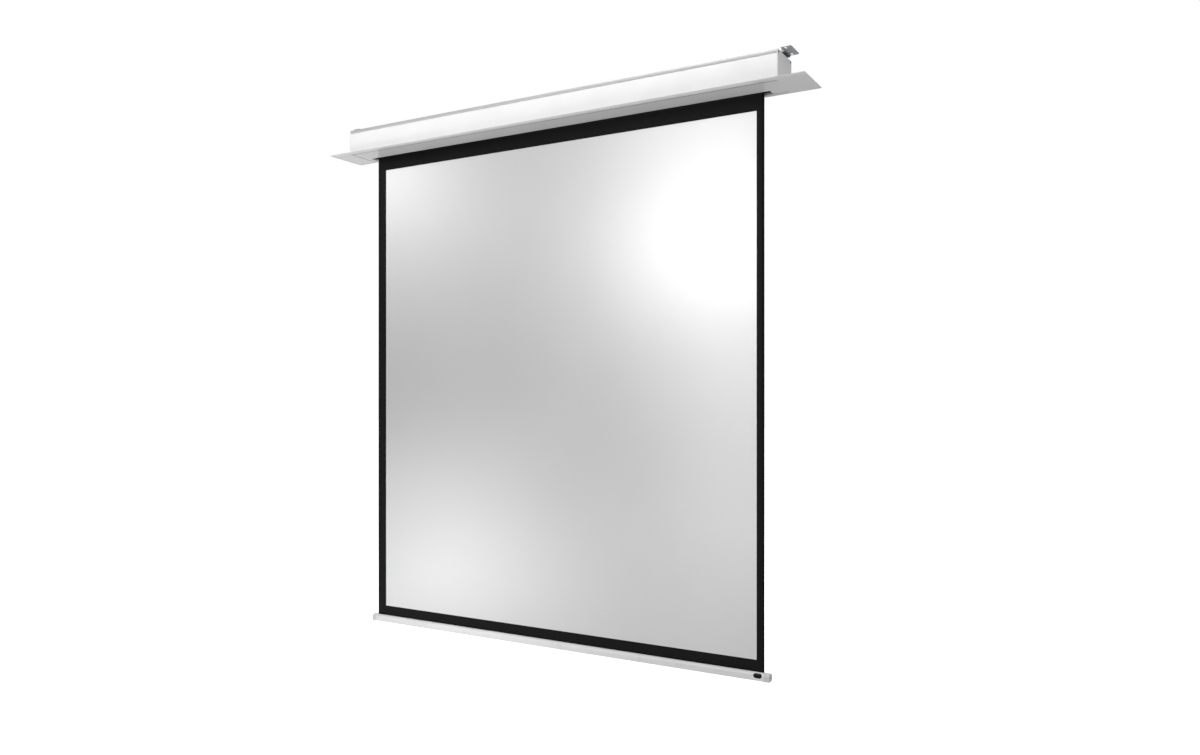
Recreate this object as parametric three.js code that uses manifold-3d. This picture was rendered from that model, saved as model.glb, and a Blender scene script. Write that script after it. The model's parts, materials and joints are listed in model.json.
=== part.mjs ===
// Ceiling-recessed motorised projection screen, in millimetres.
// X runs along the case to the viewer's right, Y runs back from the viewer, Z runs up.
// The origin lies on the case's top face, above the cloth and at the middle of its width.
import * as THREE from "three";
import { mergeVertices } from "three/addons/utils/BufferGeometryUtils.js";
import Module from "manifold-3d";

// Clearances
const seatGap = 0.3; // between a piece and the seat that carries it
const runGap = 0.5; // between a turning piece and the one it turns on
const overrun = 5; // how far a cutting shape passes the face that it cuts

// Cloth
const clothWidth = 2000;
const clothThickness = 0.5;
const clothBottom = 2360; // from the case's top face down to the bar's top
const wrapCount = 2; // turns that stay on the roller when the cloth is down
const wrapGap = 0.3;

// Case
const caseHeight = 116;
const caseDepth = 157;
const clothToRear = 26; // from the cloth's plane to the case's rear face
const leftRoom = 61; // from the cloth's edge to the case's end, on the idler side
const rightRoom = 99; // the same on the motor side
const panelWall = 2;
const panelStep = 0.5; // how far the panels stand back from the rail's skirt
const endPlateWall = 3;

// Top rail: a flat channel profile whose lips hold the hangers' feet
const railSkirt = 15;
const railWall = 2;
const railTop = 2.5;
const channelDepth = 8;
const channelFloor = 2.5;

// Screw ports in the corners of the rail and the panels
const portInset = 11; // from the case's front or rear face
const portDrop = 8; // upper ports, below the top face
const portRise = 17; // lower front port, above the case's underside
const portRadius = 4;
const portBore = 2.2;
const portWeb = 3;
const screwHeadRadius = 3.8;
const screwHeadHeight = 2.4;
const screwRadius = 1.8;
const screwLength = 18;

// Ceiling trim
const lipFront = 27; // beyond the case's front and rear faces
const lipEnd = 111; // beyond the case's ends
const lipThickness = 5;
const lipEdge = 1.2; // upright part of the lip's rim
const lipBevel = 11; // width of the rounded rim
const lipBevelSteps = 5;
const rebateDepth = 1; // seat of the walls in the lip's upper face
const legThickness = 1.5;
const legHeight = 6;
const endLegInset = 21; // from the case's front and rear faces, clear of the ports

// Service cover
const coverSheet = 1.5;
const coverRecess = 1; // its face above the trim's underside
const coverHem = 8;
const slotFront = 20; // from the cloth's plane to the slot's front edge
const slotEnd = 29; // from the cloth's edge to the slot's end

// Hangers
const hangerSide = 43.5; // in from the case's front and rear faces
const hangerSheet = 2.5;
const hangerRise = 12; // its underside above the case's top face
const hangerFoot = 6;
const hangerLength = 110;
const legReach = 11; // how far its sides run on past the case's end
const tongueSide = 28.5; // in from the case's front and rear faces
const tongueCorner = 6;
const hangerReachRight = 41; // beyond the case's end
const hangerReachLeft = 7;
const rodSlotWidth = 9;
const rodSlotLength = 19;
const rodSlotInset = 25; // from the tongue's end to the slot's middle
const rodSlotSide = 13; // from the tongue's side to the slot's middle
const clampRadius = 4;
const clampHeadRadius = 7.5;
const clampHeadHeight = 5.3;
const clampSocketRadius = 3.4;
const clampSocketDepth = 3;

// Roller
const rollerDrop = 58; // its axis below the case's top face
const tubeRadius = 34;
const tubeWall = 1.5;
const tubeOverhang = 18; // beyond the cloth's edges
const grooveWidth = 9;
const grooveDepth = 6;
const anchorRadius = 2.6; // the rod that holds the cloth's upper hem in the groove

// Tubular motor
const motorRadius = 22.5;
const motorLength = 520;
const headRadius = 25;
const headLength = 42;
const spigotSide = 16;
const shaftSide = 12;
const shaftLength = 32;
const wheelWidth = 25;
const wheelHoleRadius = 5.5;
const wheelHoleCount = 5;
const crownWidth = 20;
const limitScrewRadius = 3;
const limitScrewLength = 5;
const limitScrewSpacing = 14;
const limitSocketRadius = 1.6;
const limitSocketDepth = 2.5;

// Idler
const pinRadius = 6;
const pinCollarRadius = 11;
const pinCollarLength = 4;
const bearingRadius = 14;
const bearingWidth = 9;
const plugLength = 44;
const plugFlange = 3.5;

// Brackets that carry the roller
const bracketWidth = 92;
const bracketHeight = 80;
const bracketSheet = 3;
const bracketFlange = 13;
const bracketCorner = 8;
const bracketHoleRadius = 2.3;
const bracketHoleInset = 12;

// Receiver box, motor lead and cable gland
const boxLength = 130;
const boxDepthShare = 0.57; // of the room between the front panel and the wound cloth
const boxHeight = 42;
const boxWall = 2;
const boxCorner = 4;
const boxDrop = 30;
const boxEndInset = 89; // from the case's right end to the box
const leadRadius = 3.5;
const glandRadius = 7;
const glandFlangeRadius = 11;
const glandFlange = 3;
const glandLength = 16;
const glandBore = 3.6;
const glandInset = 46; // from the case's right end
const glandDrop = 58;

// Bottom bar
const barDepth = 34;
const barHeight = 31.5;
const barCrown = 13; // height of the rounded top
const barCorner = 3;
const barWall = 1.8;
const barOverhang = 2.5; // beyond the cloth's edges
const kederRadius = 3.4;
const kederDrop = 9.5;
const kederWall = 1.5;
const kederSlot = 1.8;
const capLength = 22.5;
const capProud = 0.5;
const capFillet = 4;
const capPlugLength = 24;
const capPlugHeight = 12;
const capScrewSpacing = 15;
const capScrewHead = 2.5;
const capScrewHeadHeight = 1.4;
const capScrewRadius = 1.4;
const capScrewLength = 14;
const weightWidth = 25;
const weightHeight = 8;
const weightShare = 0.8; // of the bar's length

// Facets of round pieces
const roundSides = 40;
const smallSides = 24;
const screwSides = 12;
const arcSteps = 4;

// Places worked out from the sizes above
const halfCloth = clothWidth / 2;
const caseRear = clothToRear;
const caseFront = clothToRear - caseDepth;
const caseMiddle = (caseFront + caseRear) / 2;
const caseLeft = -halfCloth - leftRoom;
const caseRight = halfCloth + rightRoom;
const underside = -caseHeight;
const lipUpper = underside + lipThickness;
const plateLeftInner = caseLeft + endPlateWall;
const plateRightInner = caseRight - endPlateWall;
const profileLeft = plateLeftInner + seatGap;
const profileRight = plateRightInner - seatGap;
const wallBottom = lipUpper - rebateDepth + seatGap;
const panelInner = panelStep + panelWall; // in from the case's front or rear face
const legOuter = panelInner + seatGap;
const windowInset = legOuter + legThickness;
const endWindowInset = endPlateWall + seatGap + legThickness;
const hangerWidth = caseDepth - 2 * hangerSide;
const channelHalf = hangerWidth / 2 + hangerFoot + 2 * runGap;
const wrapPitch = clothThickness + wrapGap;
const woundRadius = tubeRadius + wrapGap + clothThickness / 2 + wrapCount * wrapPitch;
const rollerY = -woundRadius;
const rollerZ = -rollerDrop;
const tubeLeft = -halfCloth - tubeOverhang;
const tubeRight = halfCloth + tubeOverhang;
const barHalf = halfCloth + barOverhang;
const barTop = -clothBottom;

// Materials
function finish(color, roughness, metalness) {
  return new THREE.MeshStandardMaterial({ color, roughness, metalness });
}
const whitePaint = finish(0xf2f3f3, 0.4, 0);
const satinRail = finish(0xb4b6b8, 0.42, 0.6);
const plateGrey = finish(0xaeb0b2, 0.5, 0.3);
const zincSteel = finish(0x8d9093, 0.45, 0.8);
const darkSteel = finish(0x55585b, 0.4, 0.9);
const screwSteel = finish(0x3c3e41, 0.45, 0.8);
const rollerAluminium = finish(0xc5c7c9, 0.35, 0.8);
const motorSteel = finish(0xd9dadb, 0.4, 0.4);
const blackPlastic = finish(0x26282a, 0.5, 0);
const greyPlastic = finish(0x9b9da0, 0.55, 0);
const whitePlastic = finish(0xe4e5e5, 0.45, 0);
const clothWhite = finish(0xe9e9e9, 0.6, 0);
const clothBlack = finish(0x1c1d1e, 0.7, 0);

// Solids: joining and cutting closed shapes
const wasm = await Module();
wasm.setup();

function solid(geometry) {
  const bare = geometry.index ? geometry.toNonIndexed() : geometry.clone();
  bare.deleteAttribute("normal");
  bare.deleteAttribute("uv");
  const merged = mergeVertices(bare);
  return new wasm.Manifold(
    new wasm.Mesh({
      numProp: 3,
      vertProperties: merged.attributes.position.array,
      triVerts: new Uint32Array(merged.index.array),
    }),
  );
}

function geometryOf(shape) {
  const mesh = shape.getMesh();
  return new THREE.BufferGeometry()
    .setAttribute("position", new THREE.BufferAttribute(mesh.vertProperties, 3))
    .setIndex(new THREE.BufferAttribute(mesh.triVerts, 1));
}

function join(...shapes) {
  return shapes.reduce((whole, shape) => whole.add(shape));
}

function cut(shape, ...tools) {
  return tools.reduce((rest, tool) => rest.subtract(tool), shape);
}

// Geometry drawn in x and y and raised along +Z is turned here to run along X,
// with the drawing's x along Y and its y along Z.
const alongX = new THREE.Matrix4().makeBasis(
  new THREE.Vector3(0, 1, 0),
  new THREE.Vector3(0, 0, 1),
  new THREE.Vector3(1, 0, 0),
);

function raised(shape, bottom, top) {
  const options = { depth: top - bottom, bevelEnabled: false, curveSegments: arcSteps };
  return new THREE.ExtrudeGeometry(shape, options).translate(0, 0, bottom);
}

function profileX(shape, from, to) {
  return raised(shape, from, to).applyMatrix4(alongX);
}

function block(x, y, z) {
  const [[x0, x1], [y0, y1], [z0, z1]] = [x, y, z];
  const box = new THREE.BoxGeometry(x1 - x0, y1 - y0, z1 - z0);
  return solid(box.translate((x0 + x1) / 2, (y0 + y1) / 2, (z0 + z1) / 2));
}

function polygon(points) {
  return new THREE.Shape(points.map(([x, y]) => new THREE.Vector2(x, y)));
}

function rectangle(x0, x1, y0, y1) {
  return polygon([[x0, y0], [x1, y0], [x1, y1], [x0, y1]]);
}

function roundedRectangle(x0, x1, y0, y1, radius) {
  return new THREE.Shape()
    .moveTo(x0 + radius, y0)
    .absarc(x1 - radius, y0 + radius, radius, -Math.PI / 2, 0)
    .absarc(x1 - radius, y1 - radius, radius, 0, Math.PI / 2)
    .absarc(x0 + radius, y1 - radius, radius, Math.PI / 2, Math.PI)
    .absarc(x0 + radius, y0 + radius, radius, Math.PI, (3 * Math.PI) / 2);
}

function ringPoints(cx, cy, radius, sides) {
  return Array.from({ length: sides }, (_, i) => {
    const turn = (2 * Math.PI * i) / sides;
    return [cx + radius * Math.cos(turn), cy + radius * Math.sin(turn)];
  });
}

function disc(cx, cy, radius, sides) {
  return polygon(ringPoints(cx, cy, radius, sides));
}

function withHoles(shape, ...holes) {
  holes.forEach((hole) => shape.holes.push(hole));
  return shape;
}

function rodX(y, z, radius, from, to, sides) {
  return solid(profileX(disc(y, z, radius, sides), from, to));
}

// A turned piece: points are [radius, place along the axis], from low to high.
const lathePlacing = {
  x: new THREE.Matrix4().makeRotationZ(-Math.PI / 2),
  y: new THREE.Matrix4(),
  z: new THREE.Matrix4().makeRotationX(Math.PI / 2),
};

function turned(axis, points, sides) {
  const outline = points.map(([radius, place]) => new THREE.Vector2(radius, place));
  return new THREE.LatheGeometry(outline, sides).applyMatrix4(lathePlacing[axis]);
}

// A skin over a row of outlines with equal point counts, capped at both ends.
function loft(outlines, stations) {
  const count = outlines[0].length;
  const positions = outlines.flatMap((outline, k) =>
    outline.flatMap((point) => [point.x, point.y, stations[k]]),
  );
  const faces = [];
  for (let k = 0; k < outlines.length - 1; k++) {
    for (let i = 0; i < count; i++) {
      const a = k * count + i;
      const b = k * count + ((i + 1) % count);
      faces.push(a, b, b + count, a, b + count, a + count);
    }
  }
  const last = (outlines.length - 1) * count;
  const lowCap = THREE.ShapeUtils.triangulateShape(outlines[0], []);
  const highCap = THREE.ShapeUtils.triangulateShape(outlines.at(-1), []);
  lowCap.forEach(([a, b, c]) => faces.push(a, c, b));
  highCap.forEach(([a, b, c]) => faces.push(last + a, last + b, last + c));
  return new THREE.BufferGeometry()
    .setAttribute("position", new THREE.Float32BufferAttribute(positions, 3))
    .setIndex(faces);
}

function mesh(name, shape, material) {
  const made = new THREE.Mesh(shape.isBufferGeometry ? shape : geometryOf(shape), material);
  made.name = name;
  return made;
}

// Case profiles. "side" is +1 at the front and -1 at the rear: inward(side, d) is the
// place that lies d behind the front face, or d before the rear face.
function inward(side, distance) {
  return side > 0 ? caseFront + distance : caseRear - distance;
}

function port(side, z, webFrom, webTo) {
  const y = inward(side, portInset);
  const boss = rodX(y, z, portRadius, profileLeft, profileRight, screwSides);
  const [y0, y1] = webFrom.map((place) => place + y).sort((a, b) => a - b);
  const web = block([profileLeft, profileRight], [y0, y1], webTo.map((place) => place + z));
  return join(boss, web);
}

function portHole(side, z) {
  const past = [profileLeft - overrun, profileRight + overrun];
  return rodX(inward(side, portInset), z, portBore, ...past, screwSides);
}

function topRail() {
  const lipEdgeY = hangerWidth / 2 + runGap;
  const half = caseDepth / 2;
  const wallHalf = channelHalf + railWall;
  const floorUnder = -channelDepth - channelFloor;
  const halfOutline = [
    [wallHalf, floorUnder],
    [wallHalf, -railTop],
    [half - railWall, -railTop],
    [half - railWall, -railSkirt],
    [half, -railSkirt],
    [half, 0],
    [lipEdgeY, 0],
    [lipEdgeY, -railTop],
    [channelHalf, -railTop],
    [channelHalf, -channelDepth],
  ];
  const mirrored = halfOutline.map(([y, z]) => [-y, z]).reverse();
  const outline = [...halfOutline, ...mirrored].map(([y, z]) => [caseMiddle + y, z]);
  const profile = solid(profileX(polygon(outline), profileLeft, profileRight));
  const webHeight = [0, portDrop - railTop / 2];
  const bosses = [1, -1].map((side) =>
    port(side, -portDrop, [-portWeb / 2, portWeb / 2], webHeight),
  );
  return cut(join(profile, ...bosses), portHole(1, -portDrop), portHole(-1, -portDrop));
}

// The rear one stays clear of the parked bar.
function lowerPortZ(side) {
  return underside + (side > 0 ? portRise : barHeight + portRadius + runGap);
}

function sidePanel(side) {
  const tongue = railWall + seatGap;
  const shoulder = -railSkirt - seatGap;
  const outline = [
    [panelStep, wallBottom],
    [panelInner, wallBottom],
    [panelInner, shoulder - panelWall],
    [tongue + panelWall, shoulder - panelWall],
    [tongue + panelWall, -railTop - seatGap],
    [tongue, -railTop - seatGap],
    [tongue, shoulder],
    [panelStep, shoulder],
  ].map(([distance, z]) => [inward(side, distance), z]);
  const wall = solid(profileX(polygon(outline), profileLeft, profileRight));
  const reach = portInset - panelStep - panelWall / 2;
  const z = lowerPortZ(side);
  const boss = port(side, z, [0, -side * reach], [-portWeb / 2, portWeb / 2]);
  return cut(join(wall, boss), portHole(side, z));
}

function glandHole() {
  const x = caseRight - glandInset;
  const hole = turned("y", [
    [0, inward(-1, panelInner + overrun)],
    [glandRadius + seatGap, inward(-1, panelInner + overrun)],
    [glandRadius + seatGap, caseRear + overrun],
    [0, caseRear + overrun],
  ], smallSides);
  return solid(hole.translate(x, 0, -glandDrop));
}

const portPlaces = [1, -1].flatMap((side) =>
  [-portDrop, lowerPortZ(side)].map((z) => [inward(side, portInset), z]),
);

function endPlate(inner, outer) {
  const outline = rectangle(caseFront, caseRear, wallBottom, 0);
  const holes = portPlaces.map(([y, z]) => disc(y, z, portBore, screwSides));
  return profileX(withHoles(outline, ...holes), inner, outer);
}

// Pan-head screw, drawn along X with its head's seat at 0 and its shank towards -X.
function panScrew(head, height, shank, length) {
  return turned("x", [
    [0, -length],
    [shank, -length + shank],
    [shank, 0],
    [head, 0],
    [head * headShares.rim, height * headShares.shoulder],
    [head * headShares.recess, height],
    [head * headShares.cross, height],
    [0, height * headShares.crossFloor],
  ], screwSides);
}
const headShares = { rim: 0.94, shoulder: 0.5, recess: 0.62, cross: 0.4, crossFloor: 0.35 };

// Trim: one bevelled plate with a window, parted into four pieces at the window's ends.
const trimX = [caseLeft - lipEnd, caseRight + lipEnd];
const trimY = [caseFront - lipFront, caseRear + lipFront];
const windowX = [caseLeft + endWindowInset, caseRight - endWindowInset];
const windowY = [caseFront + windowInset, caseRear - windowInset];

function trimPlate() {
  const steps = Array.from({ length: lipBevelSteps + 1 }, (_, i) => {
    const turn = (Math.PI / 2) * (i / lipBevelSteps);
    const inset = lipBevel * (1 - Math.cos(turn));
    return [inset, lipUpper - lipEdge - (lipThickness - lipEdge) * Math.sin(turn)];
  }).reverse();
  const rings = [...steps, [0, lipUpper]];
  const outlines = rings.map(([inset]) => [
    new THREE.Vector2(trimX[0] + inset, trimY[0] + inset),
    new THREE.Vector2(trimX[1] - inset, trimY[0] + inset),
    new THREE.Vector2(trimX[1] - inset, trimY[1] - inset),
    new THREE.Vector2(trimX[0] + inset, trimY[1] - inset),
  ]);
  const plate = solid(loft(outlines, rings.map(([, z]) => z)));
  const window = block(windowX, windowY, [underside - overrun, lipUpper + overrun]);
  const rebate = block(
    [caseLeft - seatGap, caseRight + seatGap],
    [caseFront - seatGap, caseRear + seatGap],
    [lipUpper - rebateDepth, lipUpper + overrun],
  );
  return cut(plate, window, rebate);
}

function trimPieces() {
  const plate = trimPlate();
  const legZ = [lipUpper - rebateDepth - legThickness, lipUpper - rebateDepth + legHeight];
  const everyZ = [underside - overrun, lipUpper + overrun];
  const longX = [windowX[0] + seatGap, windowX[1] - seatGap];
  const legY = [caseFront + endLegInset, caseRear - endLegInset];
  const wide = [trimY[0] - overrun, trimY[1] + overrun];
  const front = block(longX, [trimY[0] - overrun, caseMiddle], everyZ);
  const rear = block(longX, [caseMiddle, trimY[1] + overrun], everyZ);
  const left = block([trimX[0] - overrun, windowX[0]], wide, everyZ);
  const right = block([windowX[1], trimX[1] + overrun], wide, everyZ);
  const legs = {
    front: block(longX, [caseFront + legOuter, windowY[0]], legZ),
    rear: block(longX, [windowY[1], caseRear - legOuter], legZ),
    left: block([windowX[0] - legThickness, windowX[0]], legY, legZ),
    right: block([windowX[1], windowX[1] + legThickness], legY, legZ),
  };
  return {
    trim_front: join(plate.intersect(front), legs.front),
    trim_rear: join(plate.intersect(rear), legs.rear),
    trim_left: join(plate.intersect(left), legs.left),
    trim_right: join(plate.intersect(right), legs.right),
  };
}

// Service cover: a folded tray around the slot, which is open to the rear trim.
function serviceCover() {
  const [x0, x1] = [windowX[0] + seatGap, windowX[1] - seatGap];
  const [y0, y1] = [windowY[0] + seatGap, windowY[1] - seatGap];
  const slotX = halfCloth + slotEnd;
  const low = underside + coverRecess;
  const hem = [low, low + coverHem];
  const plan = polygon([
    [x0, y0],
    [x1, y0],
    [x1, y1],
    [slotX, y1],
    [slotX, -slotFront],
    [-slotX, -slotFront],
    [-slotX, y1],
    [x0, y1],
  ]);
  return join(
    solid(raised(plan, low, low + coverSheet)),
    block([x0, x1], [y0, y0 + coverSheet], hem),
    block([-slotX - coverSheet, slotX + coverSheet], [-slotFront - coverSheet, -slotFront], hem),
    block([-slotX - coverSheet, -slotX], [-slotFront - coverSheet, y1], hem),
    block([slotX, slotX + coverSheet], [-slotFront - coverSheet, y1], hem),
  );
}

// Hanger, drawn with its tongue's end at x = 0 and the rest towards -X. Its feet end
// short of the end plate, and beyond them its sides stay above the case.
function hanger() {
  const half = hangerWidth / 2;
  const top = hangerRise + hangerSheet;
  const footTop = -railTop - seatGap;
  const halfHat = [
    [half, top],
    [half, footTop],
    [half + hangerFoot, footTop],
    [half + hangerFoot, footTop - hangerSheet],
    [half - hangerSheet, footTop - hangerSheet],
    [half - hangerSheet, hangerRise],
  ];
  const mirrored = halfHat.map(([y, z]) => [-y, z]).reverse();
  const section = [...halfHat, ...mirrored].map(([y, z]) => [caseMiddle + y, z]);
  const hat = solid(profileX(polygon(section), -hangerLength, legReach - hangerReachRight));
  const [y0, y1] = [caseFront + tongueSide, caseRear - tongueSide];
  const tonguePlan = roundedRectangle(-hangerReachRight, 0, y0, y1, tongueCorner);
  const tongue = solid(raised(tonguePlan, hangerRise, top));
  const feetEnd = -(hangerReachRight + endPlateWall + 2 * seatGap);
  const beyond = block(
    [feetEnd, overrun],
    [y0 - overrun, y1 + overrun],
    [footTop - hangerSheet - overrun, seatGap],
  );
  const halfWidth = rodSlotWidth / 2;
  const slotX = [-rodSlotInset - halfWidth, -rodSlotInset + halfWidth];
  const slots = [y0 + rodSlotSide, y1 - rodSlotSide].map((y) => {
    const slotY = [y - rodSlotLength / 2, y + rodSlotLength / 2];
    const plan = roundedRectangle(...slotX, ...slotY, halfWidth);
    return solid(raised(plan, hangerRise - overrun, top + overrun));
  });
  const hole = disc(hangerClampX, caseMiddle, clampRadius + seatGap, screwSides);
  const bore = solid(raised(hole, hangerRise - overrun, top + overrun));
  return geometryOf(cut(join(hat, tongue), beyond, ...slots, bore));
}
const hangerClampX = -(hangerLength + hangerReachRight) / 2;

// Clamp screw, drawn upright on the z axis: it presses on the channel's floor.
function clampScrew() {
  const seat = hangerRise + hangerSheet + seatGap;
  const top = seat + clampHeadHeight;
  return turned("z", [
    [0, -channelDepth + seatGap],
    [clampRadius, -channelDepth + seatGap],
    [clampRadius, seat],
    [clampHeadRadius, seat],
    [clampHeadRadius, top],
    [clampSocketRadius, top],
    [clampSocketRadius, top - clampSocketDepth],
    [0, top - clampSocketDepth],
  ], screwSides);
}

// Roller pieces share one outline: a circle with a groove at its top.
function rollerOutline(radius, halfWidth, floor) {
  const half = Math.asin(halfWidth / radius);
  const points = Array.from({ length: roundSides + 1 }, (_, i) => {
    const turn = Math.PI / 2 + half + ((2 * Math.PI - 2 * half) * i) / roundSides;
    return [rollerY + radius * Math.cos(turn), rollerZ + radius * Math.sin(turn)];
  });
  const groove = [halfWidth, -halfWidth].map((offset) => [rollerY + offset, rollerZ + floor]);
  return polygon([...points, ...groove]);
}

const grooveFloor = tubeRadius - grooveDepth;
const tubeBore = tubeRadius - tubeWall;
const grooveHalf = grooveWidth / 2;

function rollerTube() {
  const outer = rollerOutline(tubeRadius, grooveHalf, grooveFloor);
  const inner = rollerOutline(tubeBore, grooveHalf + tubeWall, grooveFloor - tubeWall);
  return profileX(withHoles(outer, inner), tubeLeft, tubeRight);
}

// What sits inside the tube, with a notch that the groove drives.
function insert() {
  const halfWidth = grooveHalf + tubeWall + seatGap;
  return rollerOutline(tubeBore - seatGap, halfWidth, grooveFloor - tubeWall - seatGap);
}

// The turns of cloth left on the tube: a spiral whose outer end meets the hanging cloth.
function clothWraps() {
  const steps = wrapCount * roundSides;
  const side = (offset) =>
    Array.from({ length: steps + 1 }, (_, i) => {
      const turn = (2 * Math.PI * i) / roundSides;
      const radius = woundRadius + offset - (wrapPitch * i) / roundSides;
      return [rollerY + radius * Math.cos(turn), rollerZ + radius * Math.sin(turn)];
    });
  const outline = [...side(clothThickness / 2), ...side(-clothThickness / 2).reverse()];
  return profileX(polygon(outline), -halfCloth, halfCloth);
}

// Motor side
const headRight = plateRightInner - seatGap - bracketSheet - seatGap;
const headLeft = headRight - headLength;
const motorLeft = headLeft - motorLength;

function motorHead() {
  const body = rodX(rollerY, rollerZ, headRadius, headLeft, headRight, roundSides);
  const half = spigotSide / 2;
  const spigotEnd = plateRightInner - 2 * seatGap;
  const spigot = block(
    [headRight - overrun, spigotEnd],
    [rollerY - half, rollerY + half],
    [rollerZ - half, rollerZ + half],
  );
  const depth = limitScrewLength + 2 * seatGap;
  const pockets = limitScrewX.map((x) => {
    const plan = disc(x, rollerY, limitScrewRadius + runGap, screwSides);
    const low = rollerZ - headRadius;
    return solid(raised(plan, low - overrun, low + depth));
  });
  return cut(join(body, spigot), ...pockets);
}
const limitScrewX = [-1, 1].map((side) => (headLeft + headRight + side * limitScrewSpacing) / 2);

function motorBody() {
  return rodX(rollerY, rollerZ, motorRadius, motorLeft, headLeft - seatGap, roundSides);
}

function limitScrew(x) {
  const low = rollerZ - headRadius + seatGap;
  const top = low + limitScrewLength;
  const profile = [
    [0, low + limitSocketDepth],
    [limitSocketRadius, low + limitSocketDepth],
    [limitSocketRadius, low],
    [limitScrewRadius, low],
    [limitScrewRadius, top],
    [0, top],
  ];
  return turned("z", profile, screwSides).translate(x, rollerY, 0);
}

function squareZY(half) {
  return rectangle(rollerY - half, rollerY + half, rollerZ - half, rollerZ + half);
}

function driveWheel() {
  const hub = (tubeBore + shaftSide / 2) / 2;
  const holes = Array.from({ length: wheelHoleCount }, (_, i) => {
    const turn = (2 * Math.PI * i) / wheelHoleCount - Math.PI / 2;
    const [y, z] = [rollerY + hub * Math.cos(turn), rollerZ + hub * Math.sin(turn)];
    return disc(y, z, wheelHoleRadius, screwSides);
  });
  const shape = withHoles(insert(), squareZY(shaftSide / 2 + seatGap), ...holes);
  const right = motorLeft - seatGap - runGap;
  return profileX(shape, right - wheelWidth, right);
}

function motorShaft() {
  const right = motorLeft - seatGap;
  return profileX(squareZY(shaftSide / 2), right - shaftLength, right);
}

function crownRing() {
  const bore = disc(rollerY, rollerZ, motorRadius + runGap, roundSides);
  return profileX(withHoles(insert(), bore), tubeRight - crownWidth, tubeRight);
}

// Idler side
const bracketLeftInner = plateLeftInner + seatGap + bracketSheet;

function idlerPin() {
  const collarLeft = bracketLeftInner + seatGap;
  const collarRight = collarLeft + pinCollarLength;
  return turned("x", [
    [0, plateLeftInner + 2 * seatGap],
    [pinRadius, plateLeftInner + 2 * seatGap],
    [pinRadius, collarLeft],
    [pinCollarRadius, collarLeft],
    [pinCollarRadius, collarRight],
    [pinRadius, collarRight],
    [pinRadius, tubeLeft + plugLength / 2],
    [0, tubeLeft + plugLength / 2],
  ], smallSides).translate(0, rollerY, rollerZ);
}

const plugLeft = tubeLeft - seatGap - plugFlange;

function idlerPlug() {
  const flange = rodX(rollerY, rollerZ, tubeRadius, plugLeft, tubeLeft - seatGap, roundSides);
  const body = solid(profileX(insert(), plugLeft + plugFlange / 2, tubeLeft + plugLength));
  const hole = (radius, from, to) => rodX(rollerY, rollerZ, radius, from, to, smallSides);
  const pocket = hole(bearingRadius + seatGap, plugLeft - overrun, plugLeft + bearingWidth + seatGap);
  const bore = hole(pinRadius + runGap, plugLeft, tubeLeft + plugLength + overrun);
  return cut(join(flange, body), pocket, bore);
}

function idlerBearing() {
  const bore = disc(rollerY, rollerZ, pinRadius + runGap, smallSides);
  const ring = withHoles(disc(rollerY, rollerZ, bearingRadius, smallSides), bore);
  return profileX(ring, plugLeft, plugLeft + bearingWidth);
}

// Roller bracket: a pressed plate with two flanges that point inwards along "reach".
function rollerBracket(near, far, reach, hole) {
  const half = bracketWidth / 2;
  const tall = bracketHeight / 2;
  const [y0, y1] = [rollerY - half, rollerY + half];
  const [z0, z1] = [rollerZ - tall, rollerZ + tall];
  const inset = bracketHoleInset;
  const holes = [y0 + inset, y1 - inset].flatMap((y) =>
    [z0 + inset, z1 - inset].map((z) => disc(y, z, bracketHoleRadius, screwSides)),
  );
  const outline = roundedRectangle(y0, y1, z0, z1, bracketCorner);
  const plate = solid(profileX(withHoles(outline, hole, ...holes), near, far));
  const flangeX = reach > 0 ? [near, near + bracketFlange] : [far - bracketFlange, far];
  const flangeZ = [z0 + bracketCorner, z1 - bracketCorner];
  return join(
    plate,
    block(flangeX, [y0, y0 + bracketSheet], flangeZ),
    block(flangeX, [y1 - bracketSheet, y1], flangeZ),
  );
}

// Receiver box on the front panel, open towards the roller, and its lid
const boxRight = caseRight - boxEndInset;
const boxX = [boxRight - boxLength, boxRight];
const boxFront = caseFront + panelInner + seatGap;
const boxDepth = boxDepthShare * (rollerY - woundRadius - boxFront);
const boxZ = [-boxDrop - boxHeight, -boxDrop];
const leadZ = -boxDrop - boxHeight / 2;
const leadBoxY = boxFront + boxDepth / 2;

// Draws in x and z and lays the result along Y, between two places.
function plateY(shape, from, to) {
  const lay = new THREE.Matrix4().makeRotationX(Math.PI / 2);
  return raised(shape, -to, -from).applyMatrix4(lay);
}

function receiverBox() {
  const outer = roundedRectangle(...boxX, ...boxZ, boxCorner);
  const [x0, x1] = [boxX[0] + boxWall, boxX[1] - boxWall];
  const [z0, z1] = [boxZ[0] + boxWall, boxZ[1] - boxWall];
  const inner = roundedRectangle(x0, x1, z0, z1, boxCorner - boxWall);
  const body = solid(plateY(outer, boxFront, boxFront + boxDepth));
  const hollow = solid(plateY(inner, boxFront + boxWall, boxFront + boxDepth + overrun));
  return cut(body, hollow);
}

function receiverLid() {
  const low = boxFront + boxDepth + seatGap;
  const rim = boxWall + seatGap;
  const inner = roundedRectangle(
    boxX[0] + rim, boxX[1] - rim, boxZ[0] + rim, boxZ[1] - rim, boxCorner - boxWall,
  );
  return join(
    solid(plateY(roundedRectangle(...boxX, ...boxZ, boxCorner), low, low + boxWall)),
    solid(plateY(inner, low - boxWall, low + boxWall / 2)),
  );
}

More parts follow.
